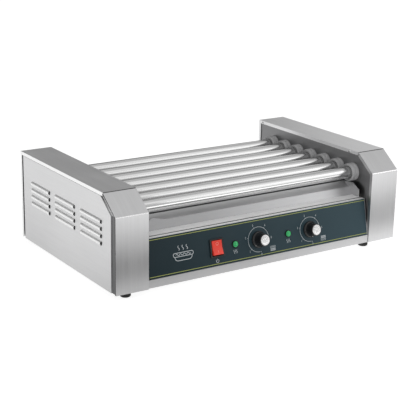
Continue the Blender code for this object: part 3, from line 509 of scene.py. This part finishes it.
def housing(side, sign):
    """Sheets of one end housing, on the side of X that sign gives."""
    top = refined(f"{side}_top_cover", STEEL_TOP_LIT, 0.0004)
    # Painted highlight: the top cover's outer flange is near white, for the bright band along
    # the top edge.
    paint(top, STEEL_RIM_HIGHLIGHT, lambda n, c: n.x * sign > FACING)
    front = refined(
        f"{side}_front_cover", STEEL_COVER, 0.0003, sharp=60,
        bend=0.0016,
    )
    # Painted highlight: the front cover's outer rim is near white.
    rim = OUTER_X - 0.0025
    paint(front, STEEL_RIM_HIGHLIGHT, lambda n, c: n.x * sign > FACING and abs(c.x) > rim)
    # The side panel's border is set back, and its front strip lies in shade.
    foot = at(0, *SLOPE_FOOT).z
    panel = refined(
        f"{side}_side_panel", STEEL_SIDE, 0.0002, sharp=50, cut=foot
    )
    border = (OUTER_X - 0.0225, OUTER_X - 0.0006)
    strip_back = FRONT + 0.02
    paint(
        panel, STEEL_SHADE,
        lambda n, c: n.x * sign > FACING and border[0] < abs(c.x) < border[1]
        and c.z < foot and c.y < strip_back,
    )
    # Painted highlight: the faces proud of the side, the louvre blades, are near white.
    blade = OUTER_X + 0.00005
    paint(panel, STEEL_BLADE_HIGHLIGHT, lambda n, c: abs(c.x) > blade)
    # Painted shade: the bearing plate in dark steel
    refined(f"{side}_bearing_plate", STEEL_PLATE_SHADE, 0.0002, sharp=50)


def drip_tray():
    """Tray with its lip and front wall, its flange and its floor in other looks: painted
    highlight on the lip, painted light on the flange, painted shade on the floor.
    """
    tray = refined(
        "drip_tray", STEEL_TRAY_SHADE_AND_LIGHT, 0.0003, "drip_tray", sharp=12, smooth=11
    )
    lip, flange, floor = FRONT + 0.0432, FRONT + 0.070, FRONT + 0.075
    # Painted highlight on the lip, painted light on the flange's upward faces, painted shade on
    # the floor under the rollers
    paint(tray, STEEL_LEDGE_HIGHLIGHT, lambda n, c: c.y < lip and (n.z > 0.5 or n.y < -FACING))
    paint(tray, STEEL_FLANGE_LIT, lambda n, c: c.y < flange and 0.8 < n.z < 0.95)
    paint(tray, STEEL_TROUGH_SHADE, lambda n, c: n.z > 0.9 and c.y > floor)


for side, sign in (("left", -1), ("right", 1)):
    housing(side, sign)
refined("base_pan", STEEL_STRIP, 0.0003)
front_panel = refined("front_panel", STEEL_CROSS, 0.0003, sharp=50)
# Painted highlight: the front panel's upward faces are near white.
paint(front_panel, STEEL_LEDGE_HIGHLIGHT, lambda n, c: n.z > 0.7)
refined("back_panel", STEEL_BACK, 0.0002, sharp=50)
drip_tray()
refined("control_fascia", FILM_PAINTED_LIGHT, 0.00012, sharp=50)
refined("switch_housing", BLACK_GLOSS, 0.0005, segments=3)
refined(
    "switch_rocker", ROCKER_RED_GLOW, 0.0006, "switch_rocker", sharp=20,
    segments=3,
)
refined("cable_gland", BLACK_MATT_AND_SHADE, 0.0005, sharp=40)
refined("heater_bracket", ZINC, 0.0002, sharp=50)
for label in ("front_left", "front_right", "back_left", "back_right"):
    refined(f"{label}_foot", BLACK_RUBBER, 0.0005, sharp=40)
for node, look in (
    ("tray_deck", ZINC), ("drive_chain", CHAIN_STEEL), ("motor_sprocket", ZINC),
    ("gear_motor", BLACK_MATT_AND_SHADE), ("front_thermostat", ZINC), ("rear_thermostat", ZINC),
    ("terminal_block", CERAMIC),
    *((f"heater_{i}", SHEATH) for i in range(1, ROLLER_COUNT + 1)),
):
    dress(node, look)


# Shadow gaps where the folded sheets meet

SEAM_INSET = 0.0012
SEAM_SUNK, SEAM_PROUD = -0.0001, 0.00008


def lying(sign, x):
    """Plane of an outer side, with u along Y and v along Z, facing outward."""
    where = at(sign * x, 0, 0)
    return Matrix((
        (0, 0, sign, where.x), (1, 0, 0, where.y), (0, 1, 0, where.z), (0, 0, 0, 1)
    ))


def seams(side, sign):
    """Painted shadow gap down a housing's outer side, and across the top of its slope."""
    bm = bmesh.new()
    path = [
        (SLOPE_TOP[0], SLOPE_TOP[1] - SEAM_INSET * 1.4),
        (SLOPE_FOOT[0] + SEAM_INSET, SLOPE_FOOT[1] - SEAM_INSET * 0.5),
        (SEAM_INSET, SEAM_INSET / 2),
    ]
    ribbon(bm, path, 2 * SEAM_INSET, SEAM_SUNK, SEAM_PROUD, lying(sign, OUTER_X))
    (y0, z0), (y1, z1) = SLOPE_TOP, SLOPE_FOOT
    run = math.hypot(y1 - y0, z1 - z0)
    tangent = Vector((0, (y1 - y0) / run, (z1 - z0) / run))
    normal = Vector((0, tangent.z, -tangent.y))
    inner, outer = INNER_X + 0.0004, OUTER_X - 0.0004
    low, high = -0.0001, 0.0013
    corners = [
        at(sign * x, y0, z0) + tangent * reach
        for x, reach in ((inner, low), (outer, low), (outer, high), (inner, high))
    ]
    lower = [bm.verts.new(c + normal * 2 * SEAM_SUNK) for c in corners]
    upper = [bm.verts.new(c + normal * SEAM_PROUD) for c in corners]
    bm.faces.new(lower)
    bm.faces.new(upper)
    for i in range(4):
        k = (i + 1) % 4
        bm.faces.new((lower[i], lower[k], upper[k], upper[i]))
    bmesh.ops.recalc_face_normals(bm, faces=bm.faces)
    keep(f"{side}_seam", bm, BLACK_MATT_AND_SHADE, "body")


def ledge_seal():
    """Painted shadow of the gap in front of the tray's lip, low enough for the tray to pass
    over.
    """
    reach = INNER_X - 0.0008
    low, high = at(-reach, 0.0243, 0.07940), at(reach, 0.0257, 0.07956)
    bm = bmesh.new()
    points = [
        bm.verts.new((x, y, z)) for z in (low.z, high.z) for y in (low.y, high.y)
        for x in (low.x, high.x)
    ]
    for order in (
        (0, 1, 3, 2), (4, 6, 7, 5), (0, 4, 5, 1), (2, 3, 7, 6), (0, 2, 6, 4), (1, 5, 7, 3)
    ):
        bm.faces.new([points[i] for i in order])
    bmesh.ops.recalc_face_normals(bm, faces=bm.faces)
    keep("ledge_seal", bm, BLACK_MATT_AND_SHADE, "body")


for side, sign in (("left", -1), ("right", 1)):
    seams(side, sign)
ledge_seal()


# Rollers and bushings


def sprocket_outline(tip):
    """Outline of a chain sprocket whose teeth reach out to tip."""
    root, flank = SPROCKET_ROOT, (SPROCKET_ROOT + tip) / 2
    outline = []
    for tooth in range(SPROCKET_TEETH):
        for share, radius in (
            (-0.34, root + 0.0004), (-0.24, flank), (-0.13, tip), (0.13, tip),
            (0.24, flank), (0.34, root + 0.0004), (0.5, root),
        ):
            turn = (tooth + share) * 2 * math.pi / SPROCKET_TEETH
            outline.append((radius * math.cos(turn), radius * math.sin(turn)))
    return outline


def tube(body, axis, length):
    """Roller tube with softened ends; the rings along it keep its faces short."""
    half, lip, step, ring = length / 2, 0.0006, 0.0003, 0.16
    outer, bore = ROLLER_RADIUS, ROLLER_BORE
    profile = [
        (bore, half - step), (bore + step, half), (outer - lip, half),
        (outer - step / 2, half - step), (outer, half - lip * 1.6),
        (outer, ring), (outer, 0), (outer, -ring),
        (outer, -half + lip * 1.6), (outer - step / 2, -half + step),
        (outer - lip, -half), (bore + step, -half), (bore, -half + step),
    ]
    lathe(
        f"{body}_tube", profile, STEEL_ROLLER, body,
        Matrix.Translation(axis) @ TO_X, closed=True, replaces=(body,),
    )


def sprocket(body, axis, tip):
    """Toothed ring round the roller's left end, sunk a little into the tube."""
    bm = bmesh.new()
    outline = sprocket_outline(tip)
    inner = [Vector(p).normalized() * (ROLLER_RADIUS - 0.0003) for p in outline]
    half = SPROCKET_WIDTH / 2
    rows = [
        [bm.verts.new((*p, depth)) for p in ring]
        for ring, depth in (
            (inner, half), (outline, half), (outline, -half), (inner, -half)
        )
    ]
    for first, second in zip(rows, rows[1:] + rows[:1]):
        for i in range(len(first)):
            k = (i + 1) % len(first)
            bm.faces.new((first[i], first[k], second[k], second[i]))
    bmesh.ops.recalc_face_normals(bm, faces=bm.faces)
    spot = Matrix.Translation(Vector((SPROCKET_X, axis.y, axis.z))) @ TO_X
    keep(f"{body}_sprocket", bm, ZINC, body, spot)


def roller(number):
    body = f"roller_{number}"
    low, high = (Vector(corner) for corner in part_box(body))
    axis = (low + high) / 2
    tube(body, axis, high.x - low.x)
    sprocket(body, axis, (high.z - low.z) / 2)


def bushing(label, number):
    """Stepped ring round a roller's end, with a spigot through the bearing plate."""
    node = f"{label}_bushing_{number}"
    low, high = (Vector(corner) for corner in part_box(node))
    sign = -1 if label == "left" else 1
    axis = (low + high) / 2
    # Local Z points inward over the rollers, from the flange's back on the plate.
    spigot = BUSHING_SPIGOT_LENGTH
    back = high.x - spigot if sign > 0 else low.x + spigot
    turn = Matrix.Rotation(-sign * math.pi / 2, 4, "Y")
    where = Matrix.Translation(Vector((back, axis.y, axis.z))) @ turn
    flange, ring, recess, bore = (
        (high.z - low.z) / 2, BUSHING_RING, BUSHING_RECESS, BUSHING_BORE
    )
    rise, seam, fine = BUSHING_RISE, BUSHING_FLANGE_LENGTH, 0.0004
    face = [
        (bore, rise - 0.0016), (bore + 0.0003, rise - 0.0012), (recess, rise - 0.0012),
        (recess + 0.0002, rise - 0.0002), (recess + 0.0006, rise), (ring - 0.0012, rise),
        (ring - 0.0005, rise - 0.0002), (ring - 0.0001, rise - 0.0007),
        (ring, rise - 0.0013),
    ]
    groove = [
        (ring, seam + 0.0022), (ring - 0.0011, seam + 0.0018),
        (ring - 0.0011, seam + 0.0006),
    ]
    edge = [
        (flange - fine * 2, seam), (flange - fine * 0.6, seam - fine * 0.6),
        (flange, seam - fine * 2), (flange, 0),
    ]
    neck = [(BUSHING_SPIGOT, 0), (BUSHING_SPIGOT, -spigot), (bore, -spigot)]
    lathe(
        node + "_ring", face + groove + edge + neck, BUSHING_GREY, "body",
        where, 56, closed=True, replaces=(node,),
    )


for number in range(1, ROLLER_COUNT + 1):
    roller(number)
    bushing("left", number)
    bushing("right", number)


# Knobs and lamps


def on_panel(x, turn=0.0):
    """Place of a control at x, turned about the panel's normal."""
    spot = Matrix.Translation((x, CONTROL_HEIGHT, 0))
    return PANEL @ spot @ Matrix.Rotation(turn, 4, "Z")


def knob(name):
    """Black grip with a silver cap, and a rib on its skirt with a painted mark."""
    where = on_panel(KNOB_X[name], DIAL_ZERO - KNOB_SETTING[name] * DIAL_STEP)
    crown = [
        (0, 0.0198), (0.0088, 0.0198), (0.0098, 0.0199), (0.0103, 0.0194),
        (0.0105, 0.0186),
    ]
    taper = [(0.0113, 0.0110), (0.0119, 0.0060), (0.0122, 0.0052), (0.0128, 0.0044)]
    skirt = [
        (0.0136, 0.0036), (0.0142, 0.0030), (0.0145, 0.0022), (0.0145, 0.0009),
        (0.0141, 0.0007),
    ]
    stem = [(0.0030, 0.0007), (0.0030, -0.0118), (0.0028, -0.0120), (0, -0.0120)]
    lathe(
        f"{name}_grip", crown + taper + skirt + stem, BLACK_GLOSS, name,
        where, replaces=(name,),
    )
    cap = [
        (0, 0.02010), (0.0030, 0.02015), (0.0080, 0.02020), (0.0087, 0.02008),
        (0.0090, 0.0198), (0.0090, 0.0190), (0, 0.0190),
    ]
    lathe(f"{name}_cap", cap, SILVER_CAP, name, where)
    rib = [(0.0100, -0.0009), (0.0141, -0.0007), (0.0141, 0.0007), (0.0100, 0.0009)]
    mark = rounded((0.0126, 0), 0.0026, 0.0009, 0.0003, 3)
    for part, outline, low, high, look in (
        ("rib", rib, 0.0022, 0.0041, BLACK_GLOSS), ("mark", mark, 0.0040, 0.00418, PRINT_WHITE)
    ):
        bm = bmesh.new()
        prism(bm, outline, low, high)
        bmesh.ops.recalc_face_normals(bm, faces=bm.faces)
        keep(f"{name}_{part}", bm, look, name, where)


def lamp(name):
    """Domed green lens with its stem, in a black ring."""
    where = on_panel(LAMP_X[name])
    dome = [
        (0, 0.00420), (0.0012, 0.00416), (0.0024, 0.00400), (0.0034, 0.00370),
        (0.0042, 0.00325), (0.0048, 0.00265), (0.0051, 0.0020), (0.0051, 0.0012),
    ]
    stem = [(0.0036, 0.0012), (0.0036, -0.0128), (0.0034, -0.0130), (0, -0.0130)]
    lathe(
        f"{name}_lens", dome + stem, LAMP_GREEN, "body", where, 48,
        replaces=(name,),
    )
    ring = [
        (0.0052, 0.0019), (0.0054, 0.0022), (0.0058, 0.0021), (0.0061, 0.0017),
        (0.0062, 0.0011), (0.0062, 0.0004), (0.0052, 0.0004),
    ]
    lathe(
        f"{name}_ring", ring, BLACK_GLOSS, "body", where, 48,
        closed=True,
    )


for name in KNOB_X:
    knob(name)
for name in LAMP_X:
    lamp(name)


# Print on the fascia

PRINT_LOW, PRINT_HIGH = -0.00004, 0.00005
LINE_INSET, LINE_WIDTH = 0.0030, 0.0010
DIAL_RADIUS, TICK_RADIUS, DIGIT_RADIUS = 0.0215, 0.0232, 0.0268
DIAL_START, DIAL_END = math.radians(-86), math.radians(-348)
DIGIT_SIZE = 0.0052
# Each pictogram's height up the panel, and its size
POWER_SIGN = (0.0080, 0.0026)
HEAT_SIGN = (0.0178, 0.0038)
ZONE_SIGN = (0.0105, 0.0036)
SAUSAGE_SIGN = (0.0290, 0.0145)
ZONE_FROM_KNOB = 0.0285
SAUSAGE_X = -0.1620


def printed(name, look, *drawings):
    """Flat printed shapes on the fascia, each a call that draws into a bmesh."""
    bm = bmesh.new()
    for draw, *rest in drawings:
        draw(bm, *rest)
    bmesh.ops.recalc_face_normals(bm, faces=bm.faces)
    keep(name, bm, look, "body", PANEL)


def stroke(bm, points, width=0.0007, closed=False):
    ribbon(bm, points, width, PRINT_LOW, PRINT_HIGH, closed=closed)


def patch(bm, outline):
    prism(bm, outline, PRINT_LOW, PRINT_HIGH)


fascia_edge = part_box("control_fascia")[1][0] - 0.0004
printed(
    "fascia_lines", PRINT_LINE,
    *(
        (stroke, [(-fascia_edge, h), (fascia_edge, h)], LINE_WIDTH)
        for h in (LINE_INSET, PANEL_HEIGHT - LINE_INSET)
    ),
)


def dial_number(name, number, spot):
    """One upright number, printed on the fascia at spot (u, v)."""
    data = bpy.data.curves.new(f"{name}_digit_{number}", "FONT")
    data.body = str(number)
    data.size = DIGIT_SIZE
    data.align_x, data.align_y = "CENTER", "CENTER"
    data.extrude = PRINT_HIGH
    data.resolution_u = 3
    data.materials.append(PRINT_GREY)
    drawn = bpy.data.objects.new(data.name, data)
    bpy.context.scene.collection.objects.link(drawn)
    mesh = bpy.data.meshes.new_from_object(drawn)
    bpy.data.objects.remove(drawn)
    digit = bpy.data.objects.new(data.name, mesh)
    bpy.context.scene.collection.objects.link(digit)
    digit.matrix_world = PANEL @ Matrix.Translation((*spot, 0))
    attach(digit, "body")


def dial(name):
    """Ring round a knob, with a tick and a number at each setting."""

    def around(radius, turn):
        return (
            KNOB_X[name] + radius * math.cos(turn),
            CONTROL_HEIGHT + radius * math.sin(turn),
        )

    centre = (KNOB_X[name], CONTROL_HEIGHT)
    turns = [DIAL_ZERO - number * DIAL_STEP for number in range(6)]
    ring = arc(centre, DIAL_RADIUS, DIAL_START, DIAL_END, 72)
    ticks = [(around(DIAL_RADIUS, turn), around(TICK_RADIUS, turn)) for turn in turns]
    printed(
        f"{name}_dial", PRINT_GREY, (stroke, ring, 0.0007),
        *((stroke, tick, 0.0008) for tick in ticks),
    )
    for number, turn in enumerate(turns):
        dial_number(name, number, around(DIGIT_RADIUS, turn))


def wavy(x, low, rise, sway):
    """Points of one wavy line that rises from (x, low)."""
    steps = 12
    return [
        (x + sway * math.sin(2 * math.pi * i / steps), low + rise * i / steps)
        for i in range(steps + 1)
    ]


def pictogram_power(x, y, size):
    """A broken ring with a bar in its gap."""
    start, end = math.radians(125), math.radians(415)
    bar = [(x, y + size * 0.25), (x, y + size * 1.35)]
    return [(stroke, arc((x, y), size, start, end, 28), 0.0009), (stroke, bar, 0.0009)]


def pictogram_heat(x, y, size):
    """Three wavy lines side by side."""
    return [
        (stroke, wavy(x + column * size * 0.75, y - size * 0.85, size * 1.7, size * 0.22))
        for column in (-1, 0, 1)
    ]


def pictogram_zone(x, y, size, filled):
    """Four rollers seen from above, with the heated pair filled in."""
    shapes = []
    for row in range(4):
        spot = (x, y + (row - 1.5) * size * 0.62)
        outline = rounded(spot, size * 3.0, size * 0.40, size * 0.19, 4)
        if (row < 2) == (filled == "front"):
            shapes.append((patch, outline))
        else:
            shapes.append((stroke, outline, 0.0004, True))
    return shapes


def pictogram_sausage(x, y, size):
    """A plain sausage in a roll, under three lines of steam."""
    sausage = rounded((x, y + size * 0.14), size * 2.66, size * 0.44, size * 0.21, 8)
    wave = [
        (
            x + size * (i / 24 - 0.5) * 2.0,
            y + size * (0.14 + 0.10 * math.sin(i * math.pi / 3)),
        )
        for i in range(25)
    ]
    # Only the part of the roll below the sausage is drawn, from left to right.
    roll = rounded((x, y - size * 0.10), size * 2.3, size * 0.86, size * 0.42, 8)
    lower = [p for p in roll if p[1] < y - size * 0.06]
    lower.sort(key=lambda p: math.atan2(p[1] - y, p[0] - x))
    steam = [
        wavy(x + size * 0.55 * column, y + size * 0.62, size * 0.55, size * 0.09)
        for column in (-1, 0, 1)
    ]
    return [
        (stroke, sausage, 0.0011, True),
        (stroke, wave, 0.0009),
        (stroke, lower, 0.0011),
        *((stroke, line, 0.0010) for line in steam),
    ]


for name in KNOB_X:
    dial(name)
printed("print_power", PRINT_GREY, *pictogram_power(SWITCH_X, *POWER_SIGN))
for name, x in LAMP_X.items():
    printed(f"print_{name}", PRINT_GREY, *pictogram_heat(x, *HEAT_SIGN))
for name, x in KNOB_X.items():
    zone = pictogram_zone(x + ZONE_FROM_KNOB, *ZONE_SIGN, name.split("_")[0])
    printed(f"print_{name}", PRINT_GREY, *zone)
printed("print_sausage", PRINT_GREY, *pictogram_sausage(SAUSAGE_X, *SAUSAGE_SIGN))


# Marks on the rocker

ROCKER_TILT = math.radians(8)
ROCKER_FACE = 0.0044
MARK_FROM_MIDDLE = 0.0066
rocker_at = Vector(next(
    j["pos_m"] for j in frame["joints"] if j["name"] == "switch_rock"
))
rocker_top = Matrix.Translation(rocker_at) @ (
    PANEL.to_3x3() @ Matrix.Rotation(-ROCKER_TILT, 3, "X")
).to_4x4()


def rocker_mark(label, half, points, closed):
    """A mark on one half of the rocker, which slopes up from the middle to its end."""
    bm = bmesh.new()
    ribbon(bm, points, 0.0007, -0.00005, 0.00012, closed=closed)
    slope = Matrix.Rotation(half * ROCKER_TILT, 4, "X")
    spot = (
        rocker_top @ Matrix.Translation((0, 0, ROCKER_FACE)) @ slope
        @ Matrix.Translation((0, half * MARK_FROM_MIDDLE, 0))
    )
    keep(f"rocker_{label}", bm, ROCKER_MARK, "switch_rocker", spot)


rocker_mark("on", -1, [(0, -0.0022), (0, 0.0022)], False)
rocker_mark("off", 1, arc((0, 0), 0.0024, 0, 2 * math.pi, 30), True)


# Screws


def screw(name, spot, matrix, radius=0.0024, look=STEEL_SCREW):
    """Pan-head screw whose cross recess is a black cross of painted shade; local Z is the way
    its head faces.
    """
    where = Matrix.Translation(spot) @ matrix
    top, sunk = radius * 0.46, -0.0002
    profile = [
        (0, top), (radius * 0.35, top * 0.97), (radius * 0.68, top * 0.80),
        (radius * 0.90, top * 0.50), (radius, top * 0.15), (radius, sunk), (0, sunk),
    ]
    lathe(name, profile, look, "body", where, 28)
    # Painted shade: the cross recess is a flat black cross on the head.
    bm = bmesh.new()
    for turn in (0.4, 0.4 + math.pi / 2):
        spin = Matrix.Rotation(turn, 4, "Z")
        outline = rounded((0, 0), radius * 1.1, radius * 0.22, radius * 0.08, 2)
        prism(bm, outline, top * 0.90, top * 1.02, spin)
    bmesh.ops.recalc_face_normals(bm, faces=bm.faces)
    keep(f"{name}_cross", bm, BLACK_MATT_AND_SHADE, "body", where)


FACE_BACK = Matrix.Rotation(-math.pi / 2, 4, "X")
RIM_SCREW_Y = (0.0660, DEPTH - 0.0125)
RIM_SCREW_DROP = 0.0036
BACK_SCREW_Z = (0.030, 0.128)
PANEL_SCREW_Z = (0.012, 0.094)
PANEL_SCREW_INSET = 0.012


def housing_screws(side, sign):
    """Screws in one housing's inner rim and back, and in the back panel beside it."""
    inward = TO_X if sign < 0 else TO_X @ Matrix.Rotation(math.pi, 4, "X")
    for i, y in enumerate(RIM_SCREW_Y):
        spot = at(sign * INNER_X, y, HEIGHT - RIM_SCREW_DROP)
        screw(f"{side}_rim_screw_{i}", spot, inward, 0.0025, SILVER_CAP)
    for i, z in enumerate(BACK_SCREW_Z):
        spot = at(sign * (INNER_X + END_WIDTH / 2), DEPTH, z)
        screw(f"{side}_back_screw_{i}", spot, FACE_BACK)
    for i, z in enumerate(PANEL_SCREW_Z):
        spot = at(sign * (INNER_X - PANEL_SCREW_INSET), DEPTH, z)
        screw(f"{side}_panel_screw_{i}", spot, FACE_BACK)


for side, sign in (("left", -1), ("right", 1)):
    housing_screws(side, sign)


# Studio


WORLD_STRENGTH = 1.95
FLOOR_STRENGTH = 1.85
FLOOR_GREY, FLOOR_GLOW = 0.40, 0.84


def glow(tree, value, strength=1.0):
    """Emission of a grey or of a colour socket."""
    made = tree.nodes.new("ShaderNodeEmission")
    made.inputs["Strength"].default_value = strength
    if isinstance(value, (int, float)):
        made.inputs["Color"].default_value = (value, value, value, 1)
    else:
        tree.links.new(value, made.inputs["Color"])
    return made.outputs[0]


def along(tree, vector, weights, stops, reach=1):
    """Greys at stops (place, grey) along the vector's dot product with weights.

    The places lie between -reach and reach.
    """
    dot = tree.nodes.new("ShaderNodeVectorMath")
    dot.operation = "DOT_PRODUCT"
    dot.inputs[1].default_value = weights
    tree.links.new(vector, dot.inputs[0])
    spread = tree.nodes.new("ShaderNodeMapRange")
    spread.inputs["From Min"].default_value = -reach
    spread.inputs["From Max"].default_value = reach
    tree.links.new(dot.outputs["Value"], spread.inputs["Value"])
    ramp = tree.nodes.new("ShaderNodeValToRGB")
    ramp.color_ramp.interpolation = "EASE"
    points = ramp.color_ramp.elements
    while len(points) < len(stops):
        points.new(0.5)
    for point, (place, grey) in zip(points, stops):
        point.position = (place + reach) / (2 * reach)
        point.color = (grey, grey, grey, 1)
    tree.links.new(spread.outputs["Result"], ramp.inputs["Fac"])
    return ramp.outputs["Color"]


def times(tree, first, second):
    """Product of two colours or vectors."""
    made = tree.nodes.new("ShaderNodeVectorMath")
    made.operation = "MULTIPLY"
    tree.links.new(first, made.inputs[0])
    tree.links.new(second, made.inputs[1])
    return made.outputs["Vector"]


def by_ray(tree, lit, seen, output):
    """Shows one shader to the camera, and lights the object with another."""
    ray = tree.nodes.new("ShaderNodeLightPath").outputs["Is Camera Ray"]
    mix = tree.nodes.new("ShaderNodeMixShader")
    tree.links.new(ray, mix.inputs[0])
    tree.links.new(lit, mix.inputs[1])
    tree.links.new(seen, mix.inputs[2])
    out = tree.nodes.new(output)
    tree.links.new(mix.outputs[0], out.inputs["Surface"])


def studio_world():
    """White to the camera; to the object, greys that change with the direction."""
    world = bpy.data.worlds.new("studio")
    bpy.context.scene.world = world
    world.use_nodes = True
    tree = world.node_tree
    tree.nodes.clear()
    direction = tree.nodes.new("ShaderNodeTexCoord").outputs["Generated"]
    depth = along(
        tree, direction, (0, 1, 0),
        ((-0.85, 0.60), (-0.45, 0.92), (0.05, 0.58), (0.35, 0.38), (0.90, 0.29)),
    )
    width = along(
        tree, direction, (1, 0, 0),
        ((-0.6, 0.75), (0.40, 0.86), (0.62, 1.0), (0.85, 1.0)),
    )
    corner = along(
        tree, direction, (1, -0.6, 0),
        ((-0.9, 0.56), (0.08, 0.56), (0.25, 1.05), (0.40, 0.56)), reach=2,
    )
    grey = times(tree, times(tree, depth, width), corner)
    by_ray(
        tree, glow(tree, grey, WORLD_STRENGTH), glow(tree, 1.0), "ShaderNodeOutputWorld"
    )


def floor_look():
    """Pale matt floor to the camera; to the object, greys that change over it."""
    look = bpy.data.materials.new("pale_floor")
    look.use_nodes = True
    tree = look.node_tree
    tree.nodes.clear()
    place = tree.nodes.new("ShaderNodeTexCoord").outputs["Object"]
    width = along(
        tree, place, (1, 0, 0),
        (
            (-0.55, 0.80), (-0.27, 0.58), (0.0, 0.72), (0.25, 1.0), (0.45, 1.0),
            (0.90, 0.62),
        ),
    )
    depth = along(
        tree, place, (0, 1, 0),
        (
            (-0.60, 1.0), (-0.46, 0.80), (-0.38, 0.16), (-0.29, 0.16), (-0.23, 0.60),
            (-0.19, 0.66), (0.02, 0.72), (0.5, 0.68),
        ),
    )
    matt = tree.nodes.new("ShaderNodeBsdfDiffuse")
    matt.inputs["Color"].default_value = (FLOOR_GREY, FLOOR_GREY, FLOOR_GREY, 1)
    pale = tree.nodes.new("ShaderNodeAddShader")
    tree.links.new(matt.outputs[0], pale.inputs[0])
    tree.links.new(glow(tree, 1.0, FLOOR_GLOW), pale.inputs[1])
    by_ray(
        tree, glow(tree, times(tree, depth, width), FLOOR_STRENGTH), pale.outputs[0],
        "ShaderNodeOutputMaterial",
    )
    return look


def studio_floor():
    bm = bmesh.new()
    bmesh.ops.create_grid(bm, x_segments=8, y_segments=8, size=6.0)
    data = bpy.data.meshes.new("floor")
    bm.to_mesh(data)
    bm.free()
    floor = bpy.data.objects.new("floor", data)
    bpy.context.scene.collection.objects.link(floor)
    data.materials.append(floor_look())


def softbox(name, spot, aim, size, power):
    """Rectangular lamp at spot that faces aim; its power is in watts."""
    data = bpy.data.lights.new(name, "AREA")
    data.shape = "RECTANGLE"
    data.size, data.size_y = size
    data.energy = power
    made = bpy.data.objects.new(name, data)
    bpy.context.scene.collection.objects.link(made)
    made.location = spot
    facing = Vector(aim) - Vector(spot)
    made.rotation_euler = facing.to_track_quat("-Z", "Y").to_euler()


CAMERA_TURN, CAMERA_RISE, CAMERA_ROLL = (math.radians(a) for a in (-33.91, 17.06, 1.17))
CAMERA_AIM = at(-0.0200, 0.15, 0.0641)
CAMERA_DISTANCE = 2.033
# Both in millimetres
FOCAL_LENGTH = 98.11731
SENSOR_WIDTH = 36


def camera():
    """Camera in front of the object and to its left, turned a little about its view."""
    back = Vector(
        (
            math.sin(CAMERA_TURN) * math.cos(CAMERA_RISE),
            -math.cos(CAMERA_TURN) * math.cos(CAMERA_RISE),
            math.sin(CAMERA_RISE),
        )
    )
    right = Vector((math.cos(CAMERA_TURN), math.sin(CAMERA_TURN), 0))
    up = back.cross(right)
    rolled_right = math.cos(CAMERA_ROLL) * right + math.sin(CAMERA_ROLL) * up
    rolled_up = -math.sin(CAMERA_ROLL) * right + math.cos(CAMERA_ROLL) * up
    data = bpy.data.cameras.new("camera")
    data.sensor_width = SENSOR_WIDTH
    data.lens = FOCAL_LENGTH
    made = bpy.data.objects.new("camera", data)
    bpy.context.scene.collection.objects.link(made)
    axes = Matrix((rolled_right, rolled_up, back)).transposed()
    spot = CAMERA_AIM + back * CAMERA_DISTANCE
    made.matrix_world = Matrix.Translation(spot) @ axes.to_4x4()
    bpy.context.scene.camera = made


studio_world()
studio_floor()
softbox("overhead", (0.10, -0.70, 1.6), (0.0, 0.0, 0.1), (2.2, 1.2), power=0.9)
softbox("front_right", (1.3, -1.3, 0.9), (0.1, 0.0, 0.1), (1.2, 1.0), power=2)
softbox("left_fill", (-1.6, 0.4, 0.9), (0.0, 0.0, 0.1), (1.0, 1.2), power=2)
camera()
bpy.context.scene.view_settings.view_transform = "Standard"
